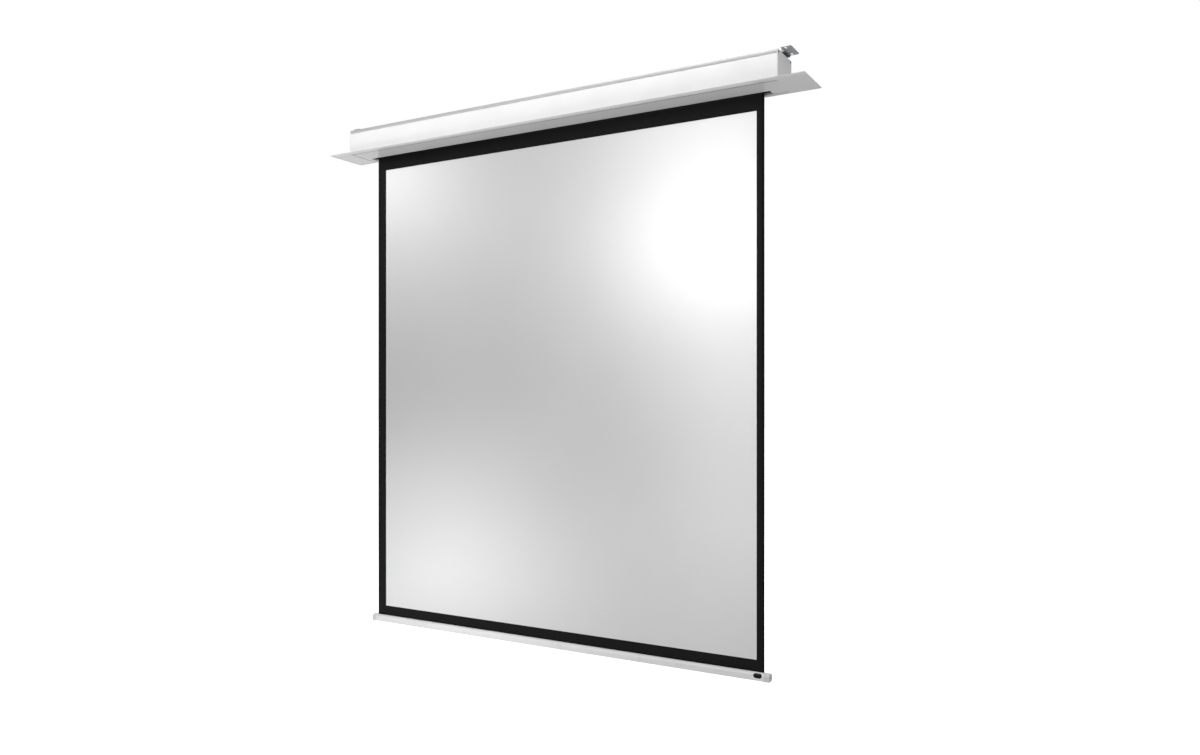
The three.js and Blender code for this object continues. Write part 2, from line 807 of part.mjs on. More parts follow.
// Lead from the motor's head to the receiver box: a quarter turn that eases up to the box
function motorLead() {
  const headX = headLeft + headLength / 4;
  const headY = rollerY - headRadius - seatGap;
  const boxEnd = boxRight + seatGap;
  const points = Array.from({ length: leadSteps + 1 }, (_, i) => {
    const turn = ((Math.PI / 2) * i) / leadSteps;
    const x = boxEnd + (headX - boxEnd) * Math.cos(turn);
    const y = headY + (leadBoxY - headY) * Math.sin(turn);
    return new THREE.Vector3(x, y, rollerZ + (leadZ - rollerZ) * Math.sin(turn) ** 2);
  });
  const route = new THREE.CatmullRomCurve3(points);
  const section = disc(0, 0, leadRadius, leadSides);
  return new THREE.ExtrudeGeometry(section, { steps: leadSteps, extrudePath: route });
}
const leadSides = 8;
const leadSteps = 20;

function cableGland() {
  const wallOuter = inward(-1, panelStep) + seatGap;
  const inner = wallOuter - glandLength;
  return turned("y", [
    [glandBore, inner],
    [glandRadius, inner],
    [glandRadius, wallOuter],
    [glandFlangeRadius, wallOuter],
    [glandFlangeRadius - glandFlange / 2, wallOuter + glandFlange],
    [glandBore, wallOuter + glandFlange],
    [glandBore, inner],
  ], smallSides).translate(caseRight - glandInset, 0, -glandDrop);
}

// Bottom bar: an upright section with an elliptical crown, measured down from its top.
function barOutline(inset) {
  const half = barDepth / 2 - inset;
  const crown = barCrown - inset;
  const corner = Math.max(barCorner - inset, barCorner / 4);
  const top = barTop - inset;
  const bottom = barTop - barHeight + inset;
  const arc = (cx, cy, rx, ry, from, to, steps) =>
    Array.from({ length: steps + 1 }, (_, i) => {
      const turn = from + ((to - from) * i) / steps;
      return new THREE.Vector2(cx + rx * Math.cos(turn), cy + ry * Math.sin(turn));
    });
  return [
    ...arc(0, top - crown, half, crown, 0, Math.PI, 4 * arcSteps),
    ...arc(corner - half, bottom + corner, corner, corner, Math.PI, (3 * Math.PI) / 2, arcSteps),
    ...arc(half - corner, bottom + corner, corner, corner, -Math.PI / 2, 0, arcSteps),
  ];
}

const kederZ = barTop - kederDrop;
const channelRadius = kederRadius + seatGap;

function barTube() {
  const span = [-barHalf, barHalf];
  const past = [-barHalf - overrun, barHalf + overrun];
  const outer = solid(profileX(new THREE.Shape(barOutline(0)), ...span));
  const inner = solid(profileX(new THREE.Shape(barOutline(barWall)), ...past));
  const shell = cut(outer, inner);
  const ring = rodX(0, kederZ, channelRadius + kederWall, ...span, smallSides);
  const neckHalf = kederSlot / 2 + kederWall;
  const neck = block(span, [-neckHalf, neckHalf], [kederZ, barTop - barWall / 2]);
  const bore = rodX(0, kederZ, channelRadius, ...past, smallSides);
  const slot = block(past, [-kederSlot / 2, kederSlot / 2], [kederZ, barTop + overrun]);
  return cut(join(shell, ring, neck), bore, slot);
}

const capScrewZ = barTop - barHeight / 2;
const capScrewY = [-capScrewSpacing / 2, capScrewSpacing / 2];

// Right-hand end cap, with the plug that fills the bar's lower cavity.
function barCap() {
  const inner = barHalf + seatGap;
  const outer = barHalf + capLength;
  const fillet = Array.from({ length: arcSteps + 1 }, (_, i) => {
    const turn = (Math.PI / 2) * (i / arcSteps);
    return [capFillet * (1 - Math.cos(turn)), outer - capFillet * (1 - Math.sin(turn))];
  });
  const rings = [[0, inner], ...fillet];
  const outlines = rings.map(([inset]) => barOutline(inset - capProud));
  const shell = solid(loft(outlines, rings.map(([, x]) => x)).applyMatrix4(alongX));
  const half = barDepth / 2 - barWall - seatGap;
  const floor = barTop - barHeight + barWall + seatGap;
  const plugPlan = roundedRectangle(-half, half, floor, floor + capPlugHeight, barCorner);
  const plug = solid(profileX(plugPlan, inner - capPlugLength, inner + capLength / 2));
  const seat = outer - capScrewHeadHeight;
  const recesses = capScrewY.flatMap((y) => [
    rodX(y, capScrewZ, capScrewHead + seatGap, seat, outer + overrun, screwSides),
    rodX(y, capScrewZ, capScrewRadius + seatGap, seat - capScrewLength - seatGap, outer, screwSides),
  ]);
  return geometryOf(cut(join(shell, plug), ...recesses));
}

function barWeight() {
  const floor = barTop - barHeight + barWall + seatGap;
  const half = (barHalf - capPlugLength) * weightShare;
  const wide = weightWidth / 2;
  return block([-half, half], [-wide, wide], [floor, floor + weightHeight]);
}

// Hanging cloth: from the roller's rear side down into the bar's channel.
function hangingCloth() {
  const half = clothThickness / 2;
  const bottom = kederZ + kederRadius + seatGap;
  return block([-halfCloth, halfCloth], [-half, half], [bottom, rollerZ - seatGap]);
}

// Assembly
function mirroredX(geometry) {
  const turnedRound = geometry.clone().scale(-1, 1, 1);
  const index = turnedRound.index.array;
  for (let i = 0; i < index.length; i += 3) {
    [index[i + 1], index[i + 2]] = [index[i + 2], index[i + 1]];
  }
  return turnedRound;
}

function caseGroup() {
  const group = new THREE.Group();
  group.add(
    mesh("top_rail", topRail(), satinRail),
    mesh("front_panel", sidePanel(1), whitePaint),
    mesh("rear_panel", cut(sidePanel(-1), glandHole()), whitePaint),
    mesh("end_plate_left", endPlate(caseLeft, plateLeftInner), plateGrey),
    mesh("end_plate_right", endPlate(plateRightInner, caseRight), plateGrey),
    mesh("service_cover", serviceCover(), whitePaint),
    mesh("cable_gland", cableGland(), blackPlastic),
  );
  Object.entries(trimPieces()).forEach(([name, shape]) => group.add(mesh(name, shape, whitePaint)));
  const screw = panScrew(screwHeadRadius, screwHeadHeight, screwRadius, screwLength);
  portPlaces.forEach(([y, z], i) => {
    const right = mesh("end_screw_right_" + (i + 1), screw, screwSteel);
    right.position.set(caseRight + seatGap, y, z);
    const left = mesh("end_screw_left_" + (i + 1), screw, screwSteel);
    left.position.set(caseLeft - seatGap, y, z);
    left.rotation.z = Math.PI;
    group.add(right, left);
  });
  return group;
}

function driveGroup() {
  const group = new THREE.Group();
  const squareHole = squareZY(spigotSide / 2 + seatGap);
  const roundHole = disc(rollerY, rollerZ, pinRadius + seatGap, smallSides);
  const nearRight = plateRightInner - seatGap - bracketSheet;
  const nearLeft = plateLeftInner + seatGap;
  const rightBracket = rollerBracket(nearRight, nearRight + bracketSheet, -1, squareHole);
  const leftBracket = rollerBracket(nearLeft, bracketLeftInner, 1, roundHole);
  group.add(
    mesh("motor_bracket", rightBracket, zincSteel),
    mesh("motor_head", motorHead(), blackPlastic),
    mesh("motor_body", motorBody(), motorSteel),
    mesh("limit_screw_up", limitScrew(limitScrewX[0]), whitePlastic),
    mesh("limit_screw_down", limitScrew(limitScrewX[1]), whitePlastic),
    mesh("idler_bracket", leftBracket, zincSteel),
    mesh("idler_pin", idlerPin(), darkSteel),
    mesh("receiver_box", receiverBox(), greyPlastic),
    mesh("receiver_lid", receiverLid(), greyPlastic),
    mesh("motor_lead", motorLead(), blackPlastic),
  );
  return group;
}

function rollerGroup() {
  const group = new THREE.Group();
  const anchorZ = rollerZ + grooveFloor + anchorRadius + seatGap;
  const anchor = rodX(rollerY, anchorZ, anchorRadius, -halfCloth, halfCloth, screwSides);
  group.add(
    mesh("roller_tube", rollerTube(), rollerAluminium),
    mesh("cloth_anchor", anchor, whitePlastic),
    mesh("cloth_wraps", clothWraps(), clothBlack),
    mesh("drive_wheel", driveWheel(), greyPlastic),
    mesh("motor_shaft", motorShaft(), darkSteel),
    mesh("crown_ring", crownRing(), greyPlastic),
    mesh("idler_plug", idlerPlug(), greyPlastic),
    mesh("idler_bearing", idlerBearing(), zincSteel),
  );
  return group;
}

function barGroup() {
  const group = new THREE.Group();
  const cap = barCap();
  const screw = panScrew(capScrewHead, capScrewHeadHeight, capScrewRadius, capScrewLength - seatGap);
  const seat = barHalf + capLength - capScrewHeadHeight + seatGap;
  group.add(
    mesh("bar_tube", barTube(), whitePaint),
    mesh("bar_cap_right", cap, whitePlastic),
    mesh("bar_cap_left", mirroredX(cap), whitePlastic),
    mesh("bar_weight", barWeight(), darkSteel),
    mesh("cloth_keder", rodX(0, kederZ, kederRadius, -halfCloth, halfCloth, smallSides), whitePlastic),
  );
  capScrewY.forEach((y, i) => {
    const right = mesh("cap_screw_right_" + (i + 1), screw, screwSteel);
    right.position.set(seat, y, capScrewZ);
    const left = mesh("cap_screw_left_" + (i + 1), screw, screwSteel);
    left.position.set(-seat, y, capScrewZ);
    left.rotation.z = Math.PI;
    group.add(right, left);
  });
  return group;
}

// One hanger with its clamp screw, turned round for the left end.
function hangerGroup(side, name, end) {
  const group = new THREE.Group();
  const plate = mesh("hanger_" + name, side > 0 ? hanger() : mirroredX(hanger()), zincSteel);
  plate.position.x = end;
  const screw = mesh("clamp_screw_" + name, clampScrew(), darkSteel);
  screw.position.set(end + side * hangerClampX, caseMiddle, 0);
  group.add(plate, screw);
  return group;
}

const screen = new THREE.Group();
screen.name = "projection_screen";
screen.add(
  caseGroup(),
  driveGroup(),
  rollerGroup(),
  barGroup(),
  hangerGroup(1, "right", caseRight + hangerReachRight),
  hangerGroup(-1, "left", caseLeft - hangerReachLeft),
  mesh("cloth", hangingCloth(), clothWhite),
);

export default screen;
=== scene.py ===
# A ceiling-recessed projection screen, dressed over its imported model. Everything is in metres.
import json
import math

import bmesh
import bpy
import numpy as np
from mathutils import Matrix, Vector
from mathutils.geometry import tessellate_polygon


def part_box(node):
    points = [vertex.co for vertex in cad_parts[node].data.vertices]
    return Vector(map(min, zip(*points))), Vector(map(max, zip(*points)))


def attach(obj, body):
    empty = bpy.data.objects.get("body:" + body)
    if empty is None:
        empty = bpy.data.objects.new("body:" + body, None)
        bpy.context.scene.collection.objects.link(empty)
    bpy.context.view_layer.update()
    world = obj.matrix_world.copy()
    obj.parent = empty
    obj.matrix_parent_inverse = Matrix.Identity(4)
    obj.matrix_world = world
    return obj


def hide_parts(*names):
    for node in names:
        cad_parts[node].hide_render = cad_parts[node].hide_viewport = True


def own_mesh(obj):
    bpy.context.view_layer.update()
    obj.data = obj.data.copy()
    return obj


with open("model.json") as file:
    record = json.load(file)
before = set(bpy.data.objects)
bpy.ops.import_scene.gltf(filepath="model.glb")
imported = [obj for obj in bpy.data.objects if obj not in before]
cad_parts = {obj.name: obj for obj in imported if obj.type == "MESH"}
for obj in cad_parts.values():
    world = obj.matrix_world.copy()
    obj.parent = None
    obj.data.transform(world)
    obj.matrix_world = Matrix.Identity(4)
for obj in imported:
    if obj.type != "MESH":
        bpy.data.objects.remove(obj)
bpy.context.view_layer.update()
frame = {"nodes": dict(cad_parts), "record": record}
cadNodes = frame["nodes"]
scene = bpy.context.scene
scene.view_settings.view_transform = "Standard"
print("model loaded,", len(cadNodes), "nodes")

# Camera, level and turned to the screen from its right-hand side
viewer = {
    "place": (2.272, -3.473, -1.293), "turn": 30.04, "lens": 28.20, "sensor": 36, "rise": 0.0167, "reach": 100,
}
lens = bpy.data.cameras.new("viewerLens")
lens.sensor_width = viewer["sensor"]
lens.lens = viewer["lens"]
lens.shift_y = viewer["rise"]
lens.clip_end = viewer["reach"]
camera = bpy.data.objects.new("viewer", lens)
camera.location = viewer["place"]
camera.rotation_euler = (math.radians(90), 0, math.radians(viewer["turn"]))
scene.collection.objects.link(camera)
scene.camera = camera
print("camera placed")


# Node trees
def put(tree, kind, at, inputs=None, **settings):
    # each entry of inputs is the socket's own value, or the output that feeds it
    node = tree.nodes.new(kind)
    node.location = at
    for key, value in settings.items():
        setattr(node, key, value)
    for label, value in (inputs or {}).items():
        if isinstance(value, bpy.types.NodeSocket):
            tree.links.new(value, node.inputs[label])
        else:
            node.inputs[label].default_value = value
    return node


def reckon(tree, operation, at, *operands):
    return put(tree, "ShaderNodeMath", at, dict(enumerate(operands)), operation=operation).outputs["Value"]


def noise(tree, vector, scale, detail, at):
    inputs = {"Vector": vector, "Scale": scale, "Detail": detail}
    return put(tree, "ShaderNodeTexNoise", at, inputs).outputs["Fac"]


def ranged(tree, value, given, made, at):
    ends = {"From Min": given[0], "From Max": given[1], "To Min": made[0], "To Max": made[1]}
    return put(tree, "ShaderNodeMapRange", at, {"Value": value, **ends}).outputs["Result"]


def mixedColour(tree, factor, first, second, at):
    ends = {"Factor": factor, "A": first, "B": second}
    return put(tree, "ShaderNodeMix", at, ends, data_type="RGBA").outputs["Result"]


def makeGroup(name, inputs, fill):
    # a socket with no value of its own is a vector; fill returns what each output shows
    tree = bpy.data.node_groups.new(name, "ShaderNodeTree")
    for label, value in inputs.items():
        kind = "NodeSocketVector" if value is None else "NodeSocketFloat"
        socket = tree.interface.new_socket(label, in_out="INPUT", socket_type=kind)
        if value is not None:
            socket.default_value = value
    results = fill(tree, put(tree, "NodeGroupInput", (-900, 0)).outputs)
    for label in results:
        tree.interface.new_socket(label, in_out="OUTPUT", socket_type="NodeSocketFloat")
    put(tree, "NodeGroupOutput", (600, 0), results)
    return tree


def fillPaintGrain(tree, given):
    # fine pebble of a powder coat, and a slow mottle of its thickness
    mottle = noise(tree, given["Vector"], given["Mottle"], 3, (-300, -150))
    return {
        "Height": noise(tree, given["Vector"], given["Pebble"], 2, (-300, 150)),
        "Tone": ranged(tree, mottle, (0.35, 0.65), (0, 1), (0, -150)),
    }


def fillDrawnLines(tree, given):
    # die lines: noise that is stretched along X, as an extrusion or a drawn tube has
    along = put(tree, "ShaderNodeCombineXYZ", (-650, -100), {"X": given["Stretch"], "Y": 1, "Z": 1})
    squeeze = {0: given["Vector"], 1: along.outputs["Vector"]}
    squeezed = put(tree, "ShaderNodeVectorMath", (-450, 0), squeeze, operation="MULTIPLY").outputs["Vector"]
    slower = reckon(tree, "MULTIPLY", (-450, -250), given["Fineness"], 0.12)
    return {
        "Height": noise(tree, squeezed, given["Fineness"], 4, (-250, 100)),
        "Tone": noise(tree, squeezed, slower, 1, (-250, -150)),
    }


def fillSettledDust(tree, given):
    # a thin veil on faces that look up, broken by noise
    level = {0: given["Normal"], 1: (0, 0, 1)}
    upward = put(tree, "ShaderNodeVectorMath", (-500, 150), level, operation="DOT_PRODUCT").outputs["Value"]
    facing = ranged(tree, upward, (0.45, 1), (0, 1), (-300, 150))
    veil = reckon(tree, "MULTIPLY", (-100, 0), facing, noise(tree, given["Vector"], 38, 5, (-500, -150)))
    return {"Mask": reckon(tree, "MULTIPLY", (100, 0), veil, given["Amount"])}


def fillClothWeave(tree, given):
    # two crossed rows of threads under a thin coat; the vector is the cloth's own flat map
    row = {"Vector": given["Vector"], "Scale": given["Threads"], "Distortion": 0.4, "Detail": 1}
    warp, weft = [
        put(tree, "ShaderNodeTexWave", (-450, height), row, bands_direction=way, wave_profile="SIN")
        for way, height in (("X", 200), ("Y", -100))
    ]
    return {
        "Height": reckon(tree, "MULTIPLY", (-200, 100), warp.outputs["Fac"], weft.outputs["Fac"]),
        "Tone": noise(tree, given["Vector"], 3.2, 2, (-450, -400)),
    }


paintGrain = makeGroup("paintGrain", {"Vector": None, "Pebble": 700.0, "Mottle": 5.0}, fillPaintGrain)
drawnLines = makeGroup("drawnLines", {"Vector": None, "Fineness": 900.0, "Stretch": 0.004}, fillDrawnLines)
settledDust = makeGroup("settledDust", {"Vector": None, "Normal": None, "Amount": 0.2}, fillSettledDust)
clothWeave = makeGroup("clothWeave", {"Vector": None, "Threads": 260.0}, fillClothWeave)


# Materials
def blankFinish(name, settings):
    finish = bpy.data.materials.new(name)
    finish.use_nodes = True
    shader = finish.node_tree.nodes["Principled BSDF"]
    for socket, value in settings.items():
        shader.inputs[socket].default_value = value
    return finish, finish.node_tree, shader


def placed(tree, group, at, inputs):
    return put(tree, "ShaderNodeGroup", at, inputs, node_tree=group).outputs


def shaded(colour, share=1):
    return (*[part * share for part in colour], 1)


def dusted(tree, at, under, recipe):
    # settled dust of the veil's colour over the colour under it
    normal = put(tree, "ShaderNodeNewGeometry", (-1300, -300)).outputs["Normal"]
    dust = placed(tree, settledDust, (-1000, -300), {"Vector": at, "Normal": normal, "Amount": recipe["dust"]})
    return mixedColour(tree, dust["Mask"], under, shaded(recipe["veil"]), (-450, 100))


def paintedInnerShade(tree, at, coat, innerShade):
    # painted shade: near-black where |y - middle| < half, so the case's inner walls look as if they lie in shade
    y = put(tree, "ShaderNodeSeparateXYZ", (-1000, 450), {"Vector": at}).outputs["Y"]
    offset = reckon(tree, "SUBTRACT", (-800, 450), y, innerShade["middle"])
    distance = reckon(tree, "ABSOLUTE", (-600, 450), offset)
    inside = reckon(tree, "LESS_THAN", (-400, 450), distance, innerShade["half"])
    return mixedColour(tree, inside, coat, shaded(innerShade["colour"]), (-200, 300))


def finishOff(tree, shader, recipe, colour, pattern):
    # the colour, a roughness that follows the pattern's tone, and a bump from its height
    bump = {"Strength": recipe["bump"], "Distance": recipe["bumpDepth"], "Height": pattern["Height"]}
    fed = {
        "Base Color": colour,
        "Roughness": ranged(tree, pattern["Tone"], (0, 1), recipe["rough"], (-450, -50)),
        "Normal": put(tree, "ShaderNodeBump", (-450, -250), bump).outputs["Normal"],
    }
    for socket, output in fed.items():
        tree.links.new(output, shader.inputs[socket])


def coatedFinish(name, recipe):
    # powder coat or moulded plastic: mottled colour, pebble bump, dust on top
    finish, tree, shader = blankFinish(name, {"Metallic": 0, "IOR": 1.5, **recipe.get("sockets", {})})
    at = put(tree, "ShaderNodeTexCoord", (-1300, 0)).outputs["Object"]
    scales = {"Vector": at, "Pebble": recipe["pebble"], "Mottle": recipe["mottle"]}
    grain = placed(tree, paintGrain, (-1000, 100), scales)
    colour = recipe["colour"]
    tone = mixedColour(tree, grain["Tone"], shaded(colour, recipe["dip"]), shaded(colour), (-700, 150))
    coat = dusted(tree, at, tone, recipe)
    # painted shade inside the case, for the recipes that carry it
    if "innerShade" in recipe:
        coat = paintedInnerShade(tree, at, coat, recipe["innerShade"])
    finishOff(tree, shader, recipe, coat, grain)
    return finish


def metalFinish(name, recipe):
    # bare or plated metal: die lines along X, tone and roughness follow them
    finish, tree, shader = blankFinish(name, {"Metallic": recipe["metal"]})
    at = put(tree, "ShaderNodeTexCoord", (-1300, 0)).outputs["Object"]
    fine, stretch = recipe["fineness"], recipe["stretch"]
    lines = placed(tree, drawnLines, (-1000, 150), {"Vector": at, "Fineness": fine, "Stretch": stretch})
    grain = placed(tree, paintGrain, (-1000, -100), {"Vector": at, "Pebble": fine, "Mottle": recipe["mottle"]})
    both = reckon(tree, "MULTIPLY", (-800, 50), lines["Tone"], grain["Tone"])
    colour = recipe["colour"]
    tone = mixedColour(tree, both, shaded(colour), shaded(colour, recipe["dip"]), (-650, 150))
    finishOff(tree, shader, recipe, dusted(tree, at, tone, recipe), lines)
    return finish


def clothFinish(name, recipe):
    # coated screen cloth: weave and slow clouds read from the cloth's flat map
    finish, tree, shader = blankFinish(name, recipe["sockets"])
    flat = put(tree, "ShaderNodeUVMap", (-1200, 0), uv_map="flatCloth").outputs["UV"]
    weave = placed(tree, clothWeave, (-900, 0), {"Vector": flat, "Threads": recipe["threads"]})
    colour = recipe["colour"]
    tone = mixedColour(tree, weave["Tone"], shaded(colour, recipe["dip"]), shaded(colour), (-600, 150))
    finishOff(tree, shader, recipe, tone, weave)
    return finish


# Finishes: what a kind has in common, then each finish with what is its own
coatBase = dict(dip=0.96, mottle=5, dust=0.15, veil=(0.62, 0.6, 0.57), bumpDepth=0.0001)
metalBase = dict(metal=1.0, dip=0.8, mottle=9, dust=0.12, veil=(0.5, 0.49, 0.47), bumpDepth=0.0001)
clothBase = dict(threads=260, bumpDepth=0.0001)
glossyCoat = dict(rough=(0.08, 0.13), pebble=600, bump=0.02, bumpDepth=0.0002, sockets={"IOR": 1.6})
# painted shade for the inside of the case: faces within half of middle in y get a near-black colour
caseInnerShade = {"middle": -0.0525, "half": 0.077, "colour": (0.006, 0.006, 0.006)}
coatRecipes = {
    "whitePanelCoat": dict(colour=(0.92, 0.92, 0.925), rough=(0.3, 0.4), pebble=700, bump=0.12,
                           bumpDepth=0.0002, innerShade=caseInnerShade),
    "whiteTrimCoat": dict(glossyCoat, colour=(0.79, 0.79, 0.795)),
    "whiteCoverCoat": dict(glossyCoat, colour=(0.77, 0.77, 0.775)),
    "whiteBarCoat": dict(colour=(0.86, 0.86, 0.87), rough=(0.26, 0.34), pebble=700, bump=0.1, bumpDepth=0.0002),
    "endPlateCoat": dict(colour=(0.8, 0.8, 0.811), rough=(0.4, 0.5), pebble=900, bump=0.15, bumpDepth=0.0002),
    "capPlastic": dict(colour=(0.75, 0.75, 0.76), rough=(0.36, 0.46), pebble=1200, bump=0.15),
    "whitePlasticSkin": dict(colour=(0.78, 0.78, 0.77), rough=(0.38, 0.48), pebble=1100, bump=0.1),
    "greyPlasticSkin": dict(colour=(0.3, 0.31, 0.32), rough=(0.42, 0.55), pebble=1000, bump=0.15),
    "blackPlasticSkin": dict(colour=(0.018, 0.019, 0.02), rough=(0.36, 0.5), pebble=1000, bump=0.15),
    "leadSheath": dict(colour=(0.014, 0.014, 0.015), rough=(0.5, 0.62), pebble=1500, bump=0.1),
    "tagGloss": dict(colour=(0.004, 0.004, 0.0045), rough=(0.3, 0.36), pebble=500, bump=0.02, dust=0.0,
                     sockets={"Specular IOR Level": 0.2}),
}
metalRecipes = {
    "railSatin": dict(colour=(0.62, 0.62, 0.625), dip=0.92, rough=(0.38, 0.46), fineness=1500, stretch=0.003,
                      bump=0.05, metal=0.6),
    "rollerAluminium": dict(colour=(0.78, 0.79, 0.8), rough=(0.24, 0.36), fineness=1600, stretch=0.003,
                            bump=0.15),
    "motorTubeSteel": dict(colour=(0.7, 0.71, 0.72), rough=(0.3, 0.42), fineness=900, stretch=0.01, bump=0.1),
    "darkZinc": dict(colour=(0.05, 0.05, 0.055), rough=(0.3, 0.42), fineness=1200, stretch=0.9, bump=0.08,
                     bumpDepth=0.00005),
    "hangerZinc": dict(colour=(0.6, 0.613, 0.626), rough=(0.36, 0.5), fineness=900, stretch=0.06, bump=0.12),
    "bracketZinc": dict(colour=(0.55, 0.56, 0.57), rough=(0.32, 0.44), fineness=900, stretch=0.2, bump=0.12),
    "darkOxide": dict(colour=(0.09, 0.09, 0.1), rough=(0.36, 0.5), fineness=900, stretch=0.5, bump=0.12),
}
clothRecipes = {
    "pictureCloth": dict(colour=(0.72, 0.72, 0.725), dip=0.97, rough=(0.39, 0.43), bump=0.05,
                         sockets={"Metallic": 0.55}),
    "borderCloth": dict(colour=(0.007, 0.007, 0.0075), dip=0.8, rough=(0.5, 0.58), bump=0.08,
                        sockets={"Metallic": 0, "Specular IOR Level": 0.11}),
    "backCloth": dict(colour=(0.012, 0.012, 0.013), dip=0.8, rough=(0.58, 0.66), bump=0.1,
                      sockets={"Metallic": 0, "Specular IOR Level": 0.2}),
}
kinds = [(coatedFinish, coatBase, coatRecipes), (metalFinish, metalBase, metalRecipes),
         (clothFinish, clothBase, clothRecipes)]
finishes = {name: make(name, {**base, **recipe})
            for make, base, recipes in kinds for name, recipe in recipes.items()}
print("finishes ready,", len(finishes))

# Each material slot of the record and its finish here
slotFinishes = {
    "satin_rail": "railSatin", "white_panel": "whitePanelCoat", "white_trim": "whiteTrimCoat",
    "white_cover": "whiteCoverCoat", "end_plate": "endPlateCoat", "zinc_screw": "darkZinc",
    "hanger_steel": "hangerZinc", "bracket_steel": "bracketZinc", "dark_steel": "darkOxide",
    "motor_tube": "motorTubeSteel", "roller_aluminium": "rollerAluminium", "black_plastic": "blackPlasticSkin",
    "grey_plastic": "greyPlasticSkin", "white_plastic": "whitePlasticSkin", "bar_cap": "capPlastic",
    "white_bar": "whiteBarCoat", "lead_rubber": "leadSheath", "screen_cloth": "pictureCloth",
    "cloth_black": "backCloth",
}
for part in frame["record"]["subparts"]:
    cad = cadNodes.get(part.get("node"))
    if cad is not None:
        cad.data.materials.clear()
        cad.data.materials.append(finishes[slotFinishes[part["material_slot"]]])
print("model's own pieces dressed")


# Meshes. A shell is (points, faces); a piece is one or more closed shells.
def turnedOut(points, faces):
    # the sum of the faces' signed volumes tells whether a closed shell is inside out
    total = 0.0
    for count in {len(face) for face in faces}:
        block = points[np.array([face for face in faces if len(face) == count])]
        for k in range(1, count - 1):
            total += float((block[:, 0] * np.cross(block[:, k], block[:, k + 1])).sum())
    return [face[::-1] for face in faces] if total < 0 else faces


def gridShell(grid, wrapRows=False, wrapColumns=False):
    # quads between the neighbours of a (rows, columns, 3) array
    rows, columns = grid.shape[:2]
    i = np.arange(rows if wrapRows else rows - 1)[:, None]
    j = np.arange(columns if wrapColumns else columns - 1)[None, :]
    i2, j2 = (i + 1) % rows, (j + 1) % columns
    quads = np.stack([i * columns + j, i2 * columns + j, i2 * columns + j2, i * columns + j2], -1)
    return grid.reshape(-1, 3), quads.reshape(-1, 4).tolist()


def capped(grid):
    # a row of closed outlines, shut at both ends by flat faces
    points, faces = gridShell(grid, wrapColumns=True)
    rows, columns = grid.shape[:2]
    ends = [list(range(columns)), list(range((rows - 1) * columns, rows * columns))[::-1]]
    return points, turnedOut(points, faces + ends)


def alongX(outline, places):
    # an outline of (y, z) points repeated at each place along X
    places = np.asarray(places, float)
    grid = np.empty((len(places), len(outline), 3))
    grid[..., 0] = places[:, None]
    grid[..., 1:] = outline[None]
    return grid


def rectangle(u, v):
    return np.array([[u[0], v[0]], [u[1], v[0]], [u[1], v[1]], [u[0], v[1]]])


def blockShell(x, y, z):
    return capped(alongX(rectangle(y, z), x))


def plate(outline, holes, low, high, axes):
    # a flat plate: triangles fill its plan, and walls run counter-clockwise round the outline and clockwise
    # round each hole; axes says where u, v and the thickness go
    loops = [np.asarray(loop, float) for loop in (outline, *holes)]
    flat = np.concatenate(loops)
    count = len(flat)
    points = np.empty((2 * count, 3))
    points[:, axes[0]] = np.tile(flat[:, 0], 2)
    points[:, axes[1]] = np.tile(flat[:, 1], 2)
    points[:, axes[2]] = np.repeat([low, high], count)
    faces = []
    for face in tessellate_polygon([[Vector((u, v, 0)) for u, v in loop] for loop in loops]):
        a, b, c = points[list(face)]
        upright = list(face) if np.cross(b - a, c - a)[axes[2]] > 0 else list(face)[::-1]
        faces += [[k + count for k in upright], upright[::-1]]
    start = 0
    for k, loop in enumerate(loops):
        a = start + np.arange(len(loop))
        b = np.roll(a, -1)
        ahead = np.roll(loop, -1, 0)
        if ((loop[:, 0] * ahead[:, 1] - loop[:, 1] * ahead[:, 0]).sum() > 0) == (k > 0):
            a, b = b, a
        faces += np.stack([a, b, b + count, a + count], -1).tolist()
        start += len(loop)
    return points, faces


def moved(shell, offset):
    return shell[0] + np.asarray(offset, float), shell[1]


def flipped(shell, axis=0):
    points = shell[0].copy()
    points[:, axis] *= -1
    return points, [face[::-1] for face in shell[1]]


def roundOff(points, radii, steps=6):
    # each corner of a polygon becomes an arc that touches both of its edges
    p = np.asarray(points, float)
    r = np.broadcast_to(np.asarray(radii, float), len(p))[:, None]
    back, ahead = np.roll(p, 1, 0) - p, np.roll(p, -1, 0) - p
    back /= np.linalg.norm(back, axis=1, keepdims=True)
    ahead /= np.linalg.norm(ahead, axis=1, keepdims=True)
    half = np.arccos(np.clip((back * ahead).sum(1, keepdims=True), -1, 1)) / 2
    middle = back + ahead
    size = np.linalg.norm(middle, axis=1, keepdims=True)
    centre = p + middle / np.where(size < 1e-9, 1, size) * r / np.sin(half)
    first = p + back * r / np.tan(half) - centre
    last = p + ahead * r / np.tan(half) - centre
    t = np.linspace(0, 1, steps + 1)[None, :, None]
    swing = (np.pi - 2 * half)[:, :, None]
    straight = swing < 1e-6
    whole = np.where(straight, 1, np.sin(swing))
    leaving = np.where(straight, 1 - t, np.sin((1 - t) * swing)) / whole
    coming = np.where(straight, t, np.sin(t * swing)) / whole
    flat = (centre[:, None] + first[:, None] * leaving + last[:, None] * coming).reshape(-1, 2)
    return flat[np.linalg.norm(flat - np.roll(flat, 1, 0), axis=1) > 1e-7]


def circle(centre, radius, sides):
    angle = 2 * np.pi * np.arange(sides) / sides
    return np.stack([centre[0] + radius * np.cos(angle), centre[1] + radius * np.sin(angle)], 1)


def stadium(x, y, halfLength, radius, steps=14):
    # two half circles and the straight sides between them
    a = np.linspace(-np.pi / 2, np.pi / 2, steps)
    right = np.stack([x + halfLength - radius + radius * np.cos(a), y + radius * np.sin(a)], 1)
    return np.concatenate([right, (x, y) - (right - (x, y))])


